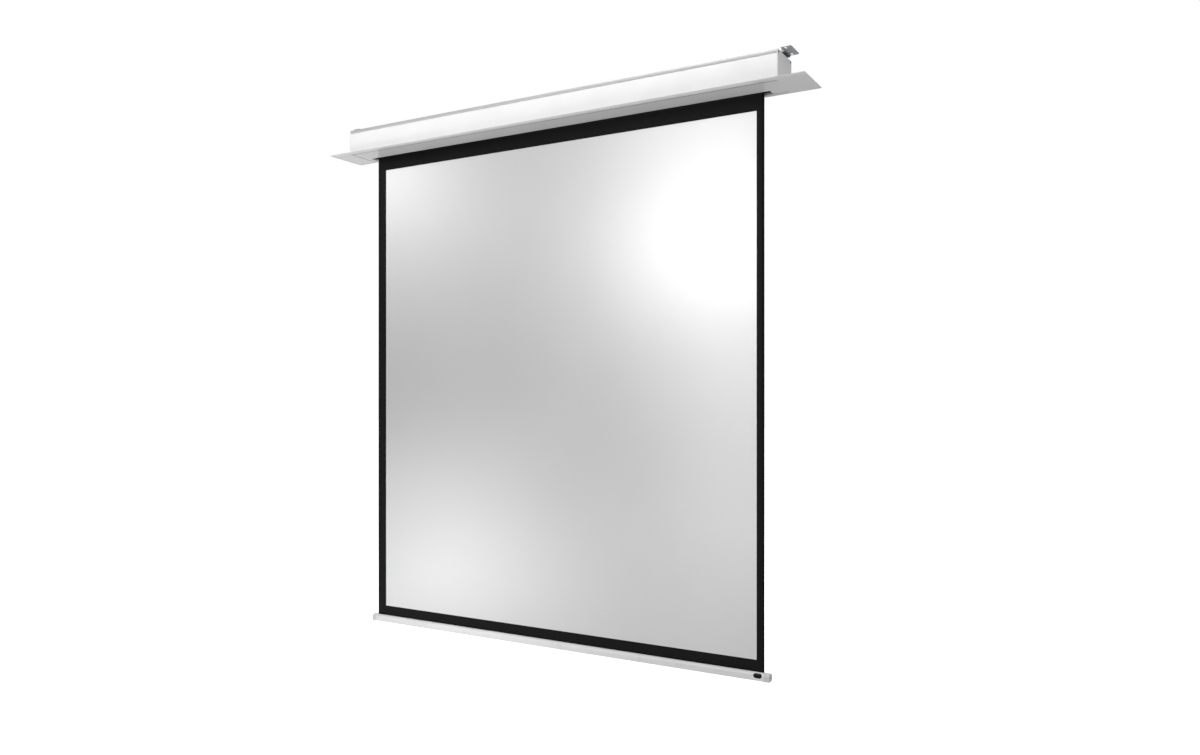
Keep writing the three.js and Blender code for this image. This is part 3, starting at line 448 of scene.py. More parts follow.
def threadRadius(place, turn, size):
    # a V thread: radius = shank - threadDepth |2 frac(place / pitch - turn / 2 pi) - 1|
    wave = np.mod(place / size["pitch"] - turn / (2 * np.pi), 1) * 2 - 1
    return size["shank"] - size["threadDepth"] * abs(wave)


def spanOf(node):
    low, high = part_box(node)
    return np.array(low), np.array(high)


def meshed(name, points, faces):
    mesh = bpy.data.meshes.new(name)
    mesh.from_pydata(np.asarray(points).tolist(), [], faces)
    piece = bpy.data.objects.new(name, mesh)
    scene.collection.objects.link(piece)
    return mesh, piece


# How every piece is closed and its edges are softened
making = {"doubles": 1e-6, "slivers": 1e-7, "bevelSteps": 2, "bevelAngle": 40}


def makePiece(name, shells, slot, node=None, body="case", finish=None, sharp=32, rounding=None, recalculate=False):
    # its finish is the slot's own unless another is named
    points = np.concatenate([shell[0] for shell in shells])
    starts = np.cumsum([0] + [len(shell[0]) for shell in shells])
    faces = [[k + start for k in face] for shell, start in zip(shells, starts) for face in shell[1]]
    mesh, piece = meshed(name, points, faces)
    work = bmesh.new()
    work.from_mesh(mesh)
    work.verts.ensure_lookup_table()
    for group in [work.verts[a:b] for a, b in zip(starts, starts[1:])]:
        bmesh.ops.remove_doubles(work, verts=group, dist=making["doubles"])
    bmesh.ops.dissolve_degenerate(work, edges=work.edges, dist=making["slivers"])
    if recalculate:
        bmesh.ops.recalc_face_normals(work, faces=work.faces)
    work.to_mesh(mesh)
    work.free()
    mesh.polygons.foreach_set("use_smooth", np.ones(len(mesh.polygons), bool))
    mesh.set_sharp_from_angle(angle=math.radians(sharp))
    mesh.materials.append(finishes[finish or slotFinishes[slot]])
    if rounding:
        edge = piece.modifiers.new("softEdges", "BEVEL")
        edge.width = rounding
        edge.segments = making["bevelSteps"]
        edge.limit_method = "ANGLE"
        edge.angle_limit = math.radians(making["bevelAngle"])
        edge.harden_normals = True
    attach(piece, body)
    if node:
        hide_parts(node)
    return piece


def makeSheet(name, grid, flat, finishNames, thickness):
    # an open grid with its flat map, and a wall of half the thickness to either side
    points, faces = gridShell(grid)
    mesh, sheet = meshed(name, points, faces)
    mesh.polygons.foreach_set("use_smooth", np.ones(len(faces), bool))
    for finish in finishNames:
        mesh.materials.append(finishes[finish])
    corners = np.empty(len(mesh.loops), np.int32)
    mesh.loops.foreach_get("vertex_index", corners)
    mesh.uv_layers.new(name="flatCloth").data.foreach_set("uv", flat.reshape(-1, 2)[corners].ravel())
    wall = sheet.modifiers.new("clothWall", "SOLIDIFY")
    wall.thickness = thickness
    wall.offset = 0
    return sheet, wall, points[np.array(faces)].mean(1)


# Cloth: a flat sheet whose grid has lines where the borders begin; y ripples by a fraction of a millimetre
cloth = {
    "leftBorder": 0.05, "rightBorder": 0.032, "pictureTop": -0.177, "pictureBottom": -2.314, "columns": 44,
    "rows": 50, "hiddenRows": 3, "borderRows": 4, "thickness": 0.0005, "coverLine": -0.1165, "ripple": 0.0003,
    "stillTop": 0.1, "stillBottom": 0.05, "ease": 0.4, "waves": [(1, 5.3, 0.8, 0), (0.6, 2.1, -2.9, 1.3)],
}


def makeCloth():
    # y = ripple * the sum of share * sin(a x + b z + shift), eased to nothing at the roller and the bar
    low, high = spanOf("cloth")
    left, right = low[0], high[0]
    pictureLeft, pictureRight = left + cloth["leftBorder"], right - cloth["rightBorder"]
    pictureTop, pictureBottom, coverLine = cloth["pictureTop"], cloth["pictureBottom"], cloth["coverLine"]
    borderRows = cloth["borderRows"]
    across, down = np.meshgrid(
        np.concatenate([
            [left, (left + pictureLeft) / 2], np.linspace(pictureLeft, pictureRight, cloth["columns"]),
            [(pictureRight + right) / 2, right],
        ]),
        np.concatenate([
            np.linspace(high[2], coverLine, cloth["hiddenRows"])[:-1],
            np.linspace(coverLine, pictureTop, borderRows)[:-1],
            np.linspace(pictureTop, pictureBottom, cloth["rows"]),
            np.linspace(pictureBottom, low[2], borderRows)[1:],
        ]),
    )
    held = np.clip((high[2] - cloth["stillTop"] - down) / cloth["ease"], 0, 1)
    held = held * np.clip((down - low[2] - cloth["stillBottom"]) / cloth["ease"], 0, 1)
    y = cloth["ripple"] * held * sum(
        share * np.sin(a * across + b * down + shift) for share, a, b, shift in cloth["waves"])
    slots = ("pictureCloth", "borderCloth", "backCloth", "backCloth")
    grid, flat = np.stack([across, y, down], -1), np.stack([across - left, high[2] - down], -1)
    sheet, wall, middles = makeSheet("clothSheet", grid, flat, slots, cloth["thickness"])
    wall.material_offset = 2
    wall.material_offset_rim = 1
    x, z = middles[:, 0], middles[:, 2]
    inPicture = (x > pictureLeft) & (x < pictureRight) & (z < pictureTop) & (z > pictureBottom)
    chosen = np.where(inPicture, 0, np.where(z > coverLine, 2, 1)).astype(np.int32)
    sheet.data.polygons.foreach_set("material_index", chosen)
    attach(sheet, "case")
    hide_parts("cloth")
    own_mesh(sheet)
    return sheet


# The turns that stay on the roller: a spiral whose radius falls by one pitch a turn
turns = {
    "count": 2, "pitch": 0.0008, "outerRadius": 0.03615, "steps": 96, "columns": 9, "axisZ": -0.058,
    "thickness": 0.0005,
}


def makeTurns():
    low, high = spanOf("cloth_wraps")
    count, outer = turns["count"], turns["outerRadius"]
    angle = np.linspace(0, 2 * np.pi * count, count * turns["steps"] + 1)[:, None]
    radius = outer - turns["pitch"] * angle / (2 * np.pi)
    x = np.linspace(low[0], high[0], turns["columns"])[None, :]
    y, z = radius * np.cos(angle) - outer, radius * np.sin(angle) + turns["axisZ"]
    grid = np.stack(np.broadcast_arrays(x, y, z), -1)
    flat = np.stack(np.broadcast_arrays(x - low[0], outer * angle), -1)
    sheet = makeSheet("clothTurns", grid, flat, ["backCloth"], turns["thickness"])[0]
    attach(sheet, "roller")
    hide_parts("cloth_wraps")
    return sheet


clothPieces = [makeCloth(), makeTurns()]
print("cloth hung")


# Bottom bar: an upright section whose top is half an ellipse
bar = {
    "depth": 0.034, "height": 0.0315, "crown": 0.013, "corner": 0.003, "wall": 0.0018, "top": -2.36,
    "crownSteps": 96, "kederDrop": 0.0095, "kederRadius": 0.0037, "kederSteps": 33, "slotHalf": 0.0009,
    "ringWall": 0.0015, "mouthDrop": 0.00002,
}
barMiddle = bar["top"] - bar["height"] / 2


def barSection(inset, crownSteps=48, cornerSteps=10):
    # closed outline of (y, z): crown from the rear side over the top, then both lower corners
    half, crown = bar["depth"] / 2 - inset, bar["crown"] - inset
    corner = max(bar["corner"] - inset, bar["corner"] / 4)
    top, bottom = bar["top"] - inset, bar["top"] - bar["height"] + inset
    a = np.linspace(0, np.pi, crownSteps + 1)
    b = np.linspace(np.pi, 1.5 * np.pi, cornerSteps + 1)
    c = np.linspace(-0.5 * np.pi, 0, cornerSteps + 1)
    wide, low = half - corner, bottom + corner
    y = np.concatenate([half * np.cos(a), corner * np.cos(b) - wide, corner * np.cos(c) + wide])
    z = np.concatenate([top - crown + crown * np.sin(a), low + corner * np.sin(b), low + corner * np.sin(c)])
    return np.stack([y, z], 1)


def kederLoop(inset, half, radius, mouth=None):
    # a section whose crown is open by twice half, with a circle round the keder hung in the opening
    section = barSection(inset, bar["crownSteps"])
    crown, lower = np.split(section, [bar["crownSteps"] + 1])
    rear, front = crown[crown[:, 0] > half], crown[crown[:, 0] < -half]
    mouth = front[0, 1] if mouth is None else mouth
    lift = math.asin(half / radius)
    turn = np.linspace(2.5 * math.pi - lift, 0.5 * math.pi + lift, bar["kederSteps"])
    z = bar["top"] - bar["kederDrop"] + radius * np.sin(turn)
    bore = np.stack([radius * np.cos(turn), z], 1)
    return np.concatenate([rear, [[half, mouth]], bore, [[-half, mouth]], front, lower])


def makeBar():
    low, high = spanOf("bar_tube")
    slot, radius, ringWall = bar["slotHalf"], bar["kederRadius"], bar["ringWall"]
    outline = kederLoop(0, slot, radius, bar["top"] - bar["mouthDrop"])
    hollow = kederLoop(bar["wall"], slot + ringWall, radius + ringWall)
    shell = plate(outline, [hollow], low[0], high[0], (1, 2, 0))
    makePiece("barProfile", [shell], "white_bar", "bar_tube", "bar", sharp=24)


cap = {
    "proud": 0.0005, "fillet": 0.0009, "filletSteps": 9, "innerEdge": 0.0006, "fromBar": 0.0003,
    "length": 0.0225, "screwApart": 0.015, "screwSeat": 1.0239, "well": 0.0028, "wellDepth": 0.0014,
    "wellSides": 32, "plugLength": 0.024, "plugHeight": 0.012, "plugGap": 0.0003, "plugCorner": 0.003,
    "overlap": 0.0001,
}
capScrews = [(-cap["screwApart"] / 2, barMiddle), (cap["screwApart"] / 2, barMiddle)]


def makeCap(name, side):
    # the bar's section made larger by proud; at its end it draws in by fillet (1 - cos t)
    barEnd = spanOf("bar_tube")[1][0]
    inner, outer = barEnd + cap["fromBar"], barEnd + cap["length"]
    turn = np.linspace(0, np.pi / 2, cap["filletSteps"])
    insets = np.concatenate([[cap["innerEdge"], 0.0], cap["fillet"] * (1 - np.cos(turn))])
    places = np.concatenate([[inner, inner + cap["innerEdge"]], outer - cap["fillet"] * (1 - np.sin(turn))])
    sections = np.stack([barSection(inset - cap["proud"]) for inset in insets])
    grid = np.concatenate([np.broadcast_to(places[:, None, None], (*sections.shape[:2], 1)), sections], -1)
    points, faces = gridShell(grid, wrapColumns=True)
    faces.insert(0, list(range(sections.shape[1])))
    # its end face has a well for each screw
    sides = cap["wellSides"]
    loops = [sections[-1], *[circle(place, cap["well"], sides) for place in capScrews]]
    flat = np.concatenate(loops)
    start = len(points)
    points = np.concatenate([points, np.column_stack([np.full(len(flat), outer), flat])])
    filled = tessellate_polygon([[Vector((*p, 0)) for p in loop] for loop in loops])
    faces += [[k + start for k in triangle] for triangle in filled]
    for n, well in enumerate(loops[1:]):
        rim = start + len(loops[0]) + n * sides + np.arange(sides)
        floor = len(points) + np.arange(sides)
        points = np.concatenate([points, np.column_stack([np.full(sides, outer - cap["wellDepth"]), well])])
        faces += np.stack([rim, np.roll(rim, -1), np.roll(floor, -1), floor], -1).tolist()
        faces.append(floor.tolist())
    half = bar["depth"] / 2 - bar["wall"] - cap["plugGap"]
    base = bar["top"] - bar["height"] + bar["wall"] + cap["plugGap"]
    top = base + cap["plugHeight"]
    plan = roundOff(rectangle((-half, half), (base, top)), cap["plugCorner"])
    shells = [(points, faces), capped(alongX(plan, [inner - cap["plugLength"], inner + cap["overlap"]]))]
    if side < 0:
        shells = [flipped(shell) for shell in shells]
    makePiece("barEnd" + name, shells, "bar_cap", "bar_cap_" + name.lower(), "bar", sharp=30, recalculate=True)


makeBar()
makeCap("Right", 1)
makeCap("Left", -1)
print("bottom bar made")

# Case: each section runs the whole length; ports are the (y, z) places of the end plates' screws. The rail's
# half section is mirrored about the case's middle, and the panel's starts from the case's front.
case = {
    "left": -1.061, "right": 1.099, "front": -0.131, "rear": 0.026, "under": -0.116, "wallFoot": -0.1117,
    "plateWall": 0.003, "gap": 0.0003, "edge": 0.0004, "edgeSteps": 3, "plateCorner": 0.0006, "plateSteps": 4,
    "ports": [(-0.12, -0.008), (-0.12, -0.099), (0.015, -0.008), (0.015, -0.08)],
    "portRadius": 0.004, "portBore": 0.0022, "portSides": 40, "holeSides": 32, "webHalf": 0.0015,
    "webStart": 0.0034, "railWebTop": -0.0012, "panelWebRoot": 0.0015,
    "railHalf": [
        (0.044, -0.0105), (0.044, -0.0025), (0.0765, -0.0025), (0.0765, -0.015), (0.0785, -0.015),
        (0.0785, 0.0), (0.0355, 0.0), (0.0355, -0.0025), (0.042, -0.0025), (0.042, -0.008),
    ],
    "panelSection": [
        (0.0005, -0.1117), (0.0025, -0.1117), (0.0025, -0.0173), (0.0043, -0.0173), (0.0043, -0.0028),
        (0.0023, -0.0028), (0.0023, -0.0153), (0.0005, -0.0153),
    ],
}
caseMiddle = (case["front"] + case["rear"]) / 2
profileSpan = [case["left"] + case["plateWall"] + case["gap"], case["right"] - case["plateWall"] - case["gap"]]


def portShell(place):
    # a pipe along X: out along the bore, back along the outside
    sides, bore, outside = case["portSides"], case["portBore"], case["portRadius"]
    rows = [
        np.column_stack([np.full(sides, profileSpan[end]), circle(place, radius, sides)])
        for radius, end in ((bore, 0), (bore, 1), (outside, 1), (outside, 0))
    ]
    points, faces = gridShell(np.array(rows), wrapRows=True, wrapColumns=True)
    return points, turnedOut(points, faces)


def profileShell(outline):
    return capped(alongX(roundOff(outline, case["edge"], case["edgeSteps"]), profileSpan))


def makeRail():
    half = np.array(case["railHalf"])
    shells = [profileShell(np.concatenate([half, half[::-1] * (-1, 1)]) + (caseMiddle, 0))]
    web = case["webHalf"]
    for y, z in (case["ports"][0], case["ports"][2]):
        webZ = (z + case["webStart"], case["railWebTop"])
        shells += [portShell((y, z)), blockShell(profileSpan, (y - web, y + web), webZ)]
    makePiece("railProfile", shells, "satin_rail", "top_rail", sharp=50)


def makeFrontPanel():
    y, z = case["ports"][1]
    web = case["webHalf"]
    webY = (case["front"] + case["panelWebRoot"], y - case["webStart"])
    shells = [
        profileShell(np.array(case["panelSection"]) + (case["front"], 0)),
        portShell((y, z)),
        blockShell(profileSpan, webY, (z - web, z + web)),
    ]
    makePiece("frontSkin", shells, "white_panel", "front_panel", sharp=50)


def makeEndPlate(name, side):
    front, rear, foot, wall = case["front"], case["rear"], case["wallFoot"], case["plateWall"]
    x = (case["right"] - wall, case["right"]) if side > 0 else (case["left"], case["left"] + wall)
    outline = roundOff(rectangle((front, rear), (foot, 0)), case["plateCorner"], case["plateSteps"])
    holes = [circle(place, case["portBore"], case["holeSides"]) for place in case["ports"]]
    shell = plate(outline, holes, *x, (1, 2, 0))
    makePiece("endPlate" + name, [shell], "end_plate", "end_plate_" + name.lower(), rounding=case["edge"])


# Screws: a domed head whose cross recess is a dip in a (radius, angle) height field, and a threaded shank
screws = {
    "end": dict(head=0.0038, height=0.0024, shank=0.0018, length=0.018, pitch=0.0013, threadDepth=0.0003),
    "cap": dict(head=0.0025, height=0.0014, shank=0.0014, length=0.0137, pitch=0.001, threadDepth=0.0002),
}
# Shares of the head's radius, the last three of its height, and how finely head and shank are drawn
recess = {"arm": 0.56, "half": 0.12, "sideSlope": 0.05, "endSlope": 0.08, "deep": 0.72, "rise": 0.35, "brim": 0.42}
screwSteps = {
    "around": 96, "inner": (0.002, 0.72, 22), "outer": (0.76, 1.0, 9), "dome": 2.6, "shankAround": 24,
    "perTurn": 8, "tip": 0.15, "overlap": 0.0001, "firstTurn": 0.5, "eachTurn": 1.7,
}


def screwShells(size):
    # height = brim + (1 - brim)(1 - r^dome) of the full height; within |u| or |v| < half of the cross it sinks
    head, steps = size["head"], screwSteps
    ray = circle((0, 0), 1, steps["around"])
    share = np.concatenate([np.linspace(*steps["inner"]), np.linspace(*steps["outer"])])[:, None]
    plan = head * share[:, :, None] * ray
    u, v = abs(plan[..., 0]), abs(plan[..., 1])
    near, far = np.minimum(u, v), np.maximum(u, v)
    arm = head * recess["arm"]
    inArm = np.clip((head * recess["half"] - near) / (head * recess["sideSlope"]) + 0.5, 0, 1)
    inLength = np.clip((arm - far) / (head * recess["endSlope"]) + 0.5, 0, 1)
    sink = inArm * inLength * size["height"] * (recess["deep"] - recess["rise"] * far / arm)
    dome = size["height"] * (recess["brim"] + (1 - recess["brim"]) * (1 - share ** steps["dome"]))
    grid = np.concatenate([(dome - sink)[..., None], plan], -1)
    rim = np.column_stack([np.zeros(len(ray)), head * ray])
    rows = int(size["length"] / size["pitch"] * steps["perTurn"])
    place = np.linspace(-size["length"], steps["overlap"], rows)[:, None]
    turn = 2 * np.pi * np.arange(steps["shankAround"])[None, :] / steps["shankAround"]
    taper = np.clip((place + size["length"]) / (2 * size["shank"]), steps["tip"], 1)
    girth = threadRadius(place, turn, size) * taper
    shank = np.stack([place + 0 * turn, girth * np.cos(turn), girth * np.sin(turn)], -1)
    return [capped(np.concatenate([grid, rim[None]])), capped(shank)]


def makeScrews():
    # kind: body, seats along X at the right and the left, places in (y, z)
    kinds = {
        "end": ("case", (case["right"] + case["gap"], case["left"] - case["gap"]), case["ports"]),
        "cap": ("bar", (cap["screwSeat"], -cap["screwSeat"]), capScrews),
    }
    for kind, (body, seats, places) in kinds.items():
        shells = screwShells(screws[kind])
        seated = [(word, (seat, *place), number + 1) for word, seat in zip(("right", "left"), seats)
                  for number, place in enumerate(places)]
        for n, (word, at, number) in enumerate(seated):
            turn = screwSteps["firstTurn"] + screwSteps["eachTurn"] * n  # driven home at a different angle each
            c, s = math.cos(turn), math.sin(turn)
            spin = np.array([[1, 0, 0], [0, c, -s], [0, s, c]])
            turned = [(points @ spin.T, faces) for points, faces in shells]
            if word == "left":
                turned = [flipped(shell) for shell in turned]
            screw = [moved(shell, at) for shell in turned]
            label, name = "%s_screw_%s_%d" % (kind, word, number), "%sScrew%s%d" % (kind, word.title(), number)
            makePiece(name, screw, "zinc_screw", label, body, sharp=40)


makeRail()
makeFrontPanel()
makeEndPlate("Right", 1)
makeEndPlate("Left", -1)
makeScrews()
print("case made")

# Ceiling trim: the rim's section is a quarter of an ellipse, inset = bevel (1 - cos t), drop = drop sin t
trim = {
    "x": (-1.172, 1.21), "y": (-0.158, 0.053), "windowX": (-1.0562, 1.0942), "windowY": (-0.1267, 0.0217),
    "upper": -0.111, "rim": 0.0012, "drop": 0.0038, "bevel": 0.026, "steps": 24, "seat": -0.112,
    "seatX": (-1.0613, 1.0993), "seatY": (-0.1313, 0.0263), "leg": 0.0015, "legTop": -0.106, "legLow": -0.1135,
    "legY": (-0.11, 0.005), "edge": 0.0003, "corner": 0.0025, "cornerSteps": 7,
    "radii": [0.0005, 0.0003, 0.0003, 0.0001, 0.0001, 0.0002, 0.0003], "edgeSteps": 3,
}
trimSpan = {axis: tuple(trim["window" + axis] + np.array([case["gap"], -case["gap"]])) for axis in "XY"}


def rimSteps():
    t = np.linspace(0, np.pi / 2, trim["steps"])
    return trim["bevel"] * (1 - np.cos(t)), trim["upper"] - trim["rim"] - trim["drop"] * np.sin(t)


def makeLongTrim(name, end, way):
    # seen in section: rim, bevel, flat underside, leg beside the slot, seat for the wall
    outer, window, seat = (trim[key][end] for key in ("y", "windowY", "seatY"))
    inset, z = rimSteps()
    leg, legTop, upper = window - way * trim["leg"], trim["legTop"], trim["upper"]
    rest = [[window, case["under"]], [window, legTop], [leg, legTop], [leg, trim["seat"]], [seat, trim["seat"]],
            [seat, upper], [outer, upper]]
    rounded = roundOff(rest, trim["radii"], trim["edgeSteps"])
    first = int(np.argmin(np.abs(rounded - (window, case["under"])).sum(1)))
    outline = np.concatenate([np.stack([outer + way * inset, z], 1), np.roll(rounded, -first, 0)])
    shell = capped(alongX(outline, trimSpan["X"]))
    makePiece("trim" + name, [shell], "white_trim", "trim_" + name.lower(), sharp=35)


def makeEndTrim(name, end, side):
    # plans stacked from the underside up: arcs at the outer corners, a notch for the wall's seat in the upper ones
    outer, window, seat = (trim[key][end] for key in ("x", "windowX", "seatX"))
    y, seatY, edge, corner = trim["y"], trim["seatY"], trim["edge"], trim["corner"]
    bend = np.linspace(0, np.pi / 2, trim["cornerSteps"])
    short, long = corner * (1 - np.sin(bend)), corner * (1 - np.cos(bend))
    inset, z = rimSteps()
    levels = [(i, height, window) for i, height in zip(inset[::-1], z[::-1])]
    levels += [(0, trim["seat"], window), (0, trim["seat"], seat), (0, trim["upper"] - edge, seat),
               (edge, trim["upper"], seat)]
    rings = []
    for i, height, inner in levels:
        reach, y0, y1 = outer - side * i, y[0] + i, y[1] - i
        plan = np.concatenate([
            [[window, y0]],
            np.stack([reach - side * short, y0 + long], 1),
            np.stack([reach - side * long, y1 - short], 1),
            [[window, y1], [window, seatY[1]], [inner, seatY[1]], [inner, seatY[0]], [window, seatY[0]]],
        ])
        rings.append(np.column_stack([plan, np.full(len(plan), height)]))
    leg = sorted((window, window + side * trim["leg"]))
    shells = [capped(np.array(rings)), blockShell(leg, trim["legY"], (trim["legLow"], trim["legTop"]))]
    makePiece("trim" + name, shells, "white_trim", "trim_" + name.lower(), sharp=35)


# Service cover: a folded sheet; each hem leaves the face by a bend of its own
cover = {
    "low": -0.115, "sheet": 0.0015, "hemTop": -0.107, "slotX": 1.029, "slotFront": -0.02, "fold": 0.0001,
    "frontJoint": 0.0065, "sideJoint": 0.0009, "shadeStripLow": -0.1147, "edge": 0.0003,
}


def makeCover():
    # the tray stops short of the trim, and a black strip that stands a little higher fills the joint as painted
    # shade for the gap
    outerX, outerY = trimSpan["X"], trimSpan["Y"]
    fold, side, front = cover["fold"], cover["sideJoint"], cover["frontJoint"]
    x, y = (outerX[0] + side, outerX[1] - side), (outerY[0] + front, outerY[1] - side)
    slotX, slotY, sheet = cover["slotX"], cover["slotFront"], cover["sheet"]
    plan = [[x[0], y[0]], [x[1], y[0]], [x[1], y[1]], [slotX, y[1]], [slotX, slotY], [-slotX, slotY],
            [-slotX, y[1]], [x[0], y[1]]]
    hem, slotSide = (cover["low"] + fold, cover["hemTop"]), (slotY - sheet + fold, y[1] - fold)
    shells = [
        plate(plan, [], cover["low"], cover["low"] + sheet, (0, 1, 2)),
        blockShell((x[0] + fold, x[1] - fold), (y[0] + fold, y[0] + sheet), hem),
        blockShell((-slotX - sheet, slotX + sheet), (slotY - sheet, slotY - fold), hem),
        blockShell((-slotX - sheet, -slotX - fold), slotSide, hem),
        blockShell((slotX + fold, slotX + sheet), slotSide, hem),
    ]
    makePiece("coverTray", shells, "white_cover", "service_cover", rounding=cover["edge"])
    rise, rear = (cover["shadeStripLow"], cover["hemTop"] - fold), (y[1] + fold, outerY[1] - fold)
    # painted shade: black strips fill the joints round the tray, where the gaps would lie in shadow
    shadeStrips = [
        blockShell(outerX, (outerY[0], y[0] - fold), rise),
        blockShell((outerX[0], x[0] - fold), (y[0], outerY[1]), rise),
        blockShell((x[1] + fold, outerX[1]), (y[0], outerY[1]), rise),
        blockShell((x[0], -slotX - sheet), rear, rise),
        blockShell((slotX + sheet, x[1]), rear, rise),
    ]
    makePiece("coverSeal", shadeStrips, "black_plastic", sharp=50)


makeLongTrim("Front", 0, 1)
makeEndTrim("Right", 1, 1)
makeLongTrim("Rear", 1, -1)
makeEndTrim("Left", 0, -1)
makeCover()
print("trim made")

# Hangers: sheet steel bent to a hat whose feet run in the rail; the tongue carries the rods' slots
hanger = {
    "rise": 0.012, "sheet": 0.0025, "half": 0.035, "foot": 0.006, "length": 0.11, "feetEnd": 0.0446,
    "legEnd": 0.03, "tongue": 0.041, "tongueHalf": 0.05, "corner": 0.006, "innerCorner": 0.0005,
    "footTop": -0.0028, "legFoot": 0.0003, "bend": 0.0035, "innerBend": 0.001, "topBend": 0.0009,
    "sheetEdge": 0.0004, "edge": 0.0003, "blunt": 0.00005, "overlap": 0.0002, "slotX": 0.025, "slotSide": 0.013,
    "slotHalf": 0.0095, "slotRadius": 0.0045, "clampX": 0.0755, "clampBore": 0.0043, "boreSides": 48,
    "bendSteps": 10, "square": 0.0001, "joint": 0.0001, "ends": {"right": 1.14, "left": -1.068},
}


def makeHanger(word):
    # a plate for the top, and on each side a bent leg that has its foot for a part of its length
    h = hanger
    rise, top, sheet, y1 = h["rise"], h["rise"] + h["sheet"], h["sheet"], caseMiddle + h["half"]
    narrow, wide, tongue, length = h["half"] - h["bend"], h["tongueHalf"], h["tongue"], h["length"]
    square, inner, steps = h["square"], h["innerCorner"], h["bendSteps"]
    plan = roundOff(
        [[-length, -narrow], [-tongue, -narrow], [-tongue, -wide], [0, -wide], [0, wide], [-tongue, wide],
         [-tongue, narrow], [-length, narrow]],
        [square, inner, *[h["corner"]] * 4, inner, square], steps) + (0, caseMiddle)
    holes = [
        stadium(side * (wide - h["slotSide"]) + caseMiddle, -h["slotX"], h["slotHalf"], h["slotRadius"])[:, ::-1]
        for side in (-1, 1)
    ]
    holes.append(circle((-h["clampX"], caseMiddle), h["clampBore"], h["boreSides"]))
    shells = [plate(plan, holes, rise, top, (0, 1, 2))]
    reach, foot, toe, back = y1 - h["bend"] - h["overlap"], h["footTop"] - sheet, y1 + h["foot"], y1 - sheet
    bend, blunt, sheetEdge, edge = h["bend"], h["blunt"], h["sheetEdge"], h["edge"]
    full = roundOff(
        [[reach, top], [y1, top], [y1, h["footTop"]], [toe, h["footTop"]], [toe, foot], [back, foot],
         [back, rise], [reach, rise]],
        [blunt, bend, h["innerBend"], sheetEdge, sheetEdge, bend, h["topBend"], blunt], steps)
    short = roundOff(
        [[reach, top], [y1, top], [y1, h["legFoot"]], [back, h["legFoot"]], [back, rise], [reach, rise]],
        [blunt, bend, edge, edge, h["topBend"], blunt], steps)
    for outline, span in ((full, (-length, -h["feetEnd"])), (short, (-h["feetEnd"] - h["joint"], -h["legEnd"]))):
        leg = capped(alongX(outline, span))
        shells += [leg, moved(flipped(leg, 1), (0, 2 * caseMiddle, 0))]
    if word == "left":
        shells = [flipped(shell) for shell in shells]
    shells = [moved(shell, (h["ends"][word], 0, 0)) for shell in shells]
    makePiece("hanger" + word.title(), shells, "hanger_steel", "hanger_" + word, word + "_hanger", rounding=edge)


# Clamp screws: a knurled head with a hexagonal socket, and a threaded shank. A ring of the head has its share
# of the radius, whether it is knurled, and how far it is above the seat or the top; one of the socket likewise.
clamp = {
    "rings": [
        (0.95, 0, "seat", 0), (0.97, 1, "seat", 0.0003), (1, 1, "seat", 0.0007), (1, 1, "top", -0.001),
        (0.985, 0, "top", -0.0006), (0.95, 0, "top", -0.0002), (0.91, 0, "top", 0),
    ],
    "socketRings": [(1.08, 0), (1, -0.0003), (1, -0.003)],
    "head": 0.0075, "seat": 0.0148, "top": 0.0201, "shank": 0.004, "tip": -0.0077, "socket": 0.0029,
    "knurl": 0.028, "knurls": 24, "sides": 144, "pitch": 0.00125, "threadDepth": 0.00045, "point": 0.75,
    "pointLength": 0.001, "overlap": 0.0001, "shankRows": 150, "shankSides": 36,
}


def makeClamp(word):
    # knurled radius = head (1 - knurl |sin knurls a|); socket's radius = socket / cos(a mod 60 - 30 degrees)
    c = clamp
    angle = 2 * np.pi * np.arange(c["sides"]) / c["sides"]
    hexagon = c["socket"] / np.cos(np.mod(angle, np.pi / 3) - np.pi / 6)
    around = (np.ones(c["sides"]), 1 - c["knurl"] * abs(np.sin(c["knurls"] * angle)))
    rows = [(c["shank"] * around[0], c["seat"])]
    rows += [(c["head"] * share * around[knurled], c[level] + rise) for share, knurled, level, rise in c["rings"]]
    rows += [(hexagon * share, c["top"] + rise) for share, rise in c["socketRings"]]
    radius = np.array([row[0] for row in rows])
    height = np.array([row[1] for row in rows])[:, None] + 0 * angle
    turn = 2 * np.pi * np.arange(c["shankSides"])[None, :] / c["shankSides"]
    place = np.linspace(c["tip"], c["seat"] + c["overlap"], c["shankRows"])[:, None]
    taper = np.clip((place - c["tip"]) / c["pointLength"] + c["point"], c["point"], 1)
    girth = threadRadius(place, turn, c) * taper
    shells = [
        capped(np.stack([radius * np.cos(angle), radius * np.sin(angle), height], -1)),
        capped(np.stack([girth * np.cos(turn), girth * np.sin(turn), place + 0 * turn], -1)),
    ]
    x = hanger["ends"][word] + hanger["clampX"] * (-1 if word == "right" else 1)
    shells = [moved(shell, (x, caseMiddle, 0)) for shell in shells]
    makePiece("clampScrew" + word.title(), shells, "dark_steel", "clamp_screw_" + word, word + "_clamp", sharp=40)


for word in ("right", "left"):
    makeHanger(word)
    makeClamp(word)
print("hangers made")

# Motor lead: a quarter turn that eases up to the receiver box, repeated from the model
lead = {
    "headX": 1.0609, "headY": -0.06145, "headZ": -0.058, "boxX": 1.0103, "boxY": -0.112268, "boxZ": -0.051,
    "diameter": 0.007, "points": 30, "sides": 28,
}


def leadRoute():
    t = np.linspace(0, np.pi / 2, lead["points"])
    return np.stack([
        lead["boxX"] + (lead["headX"] - lead["boxX"]) * np.cos(t),
        lead["headY"] + (lead["boxY"] - lead["headY"]) * np.sin(t),
        lead["headZ"] + (lead["boxZ"] - lead["headZ"]) * np.sin(t) ** 2,
    ], 1)


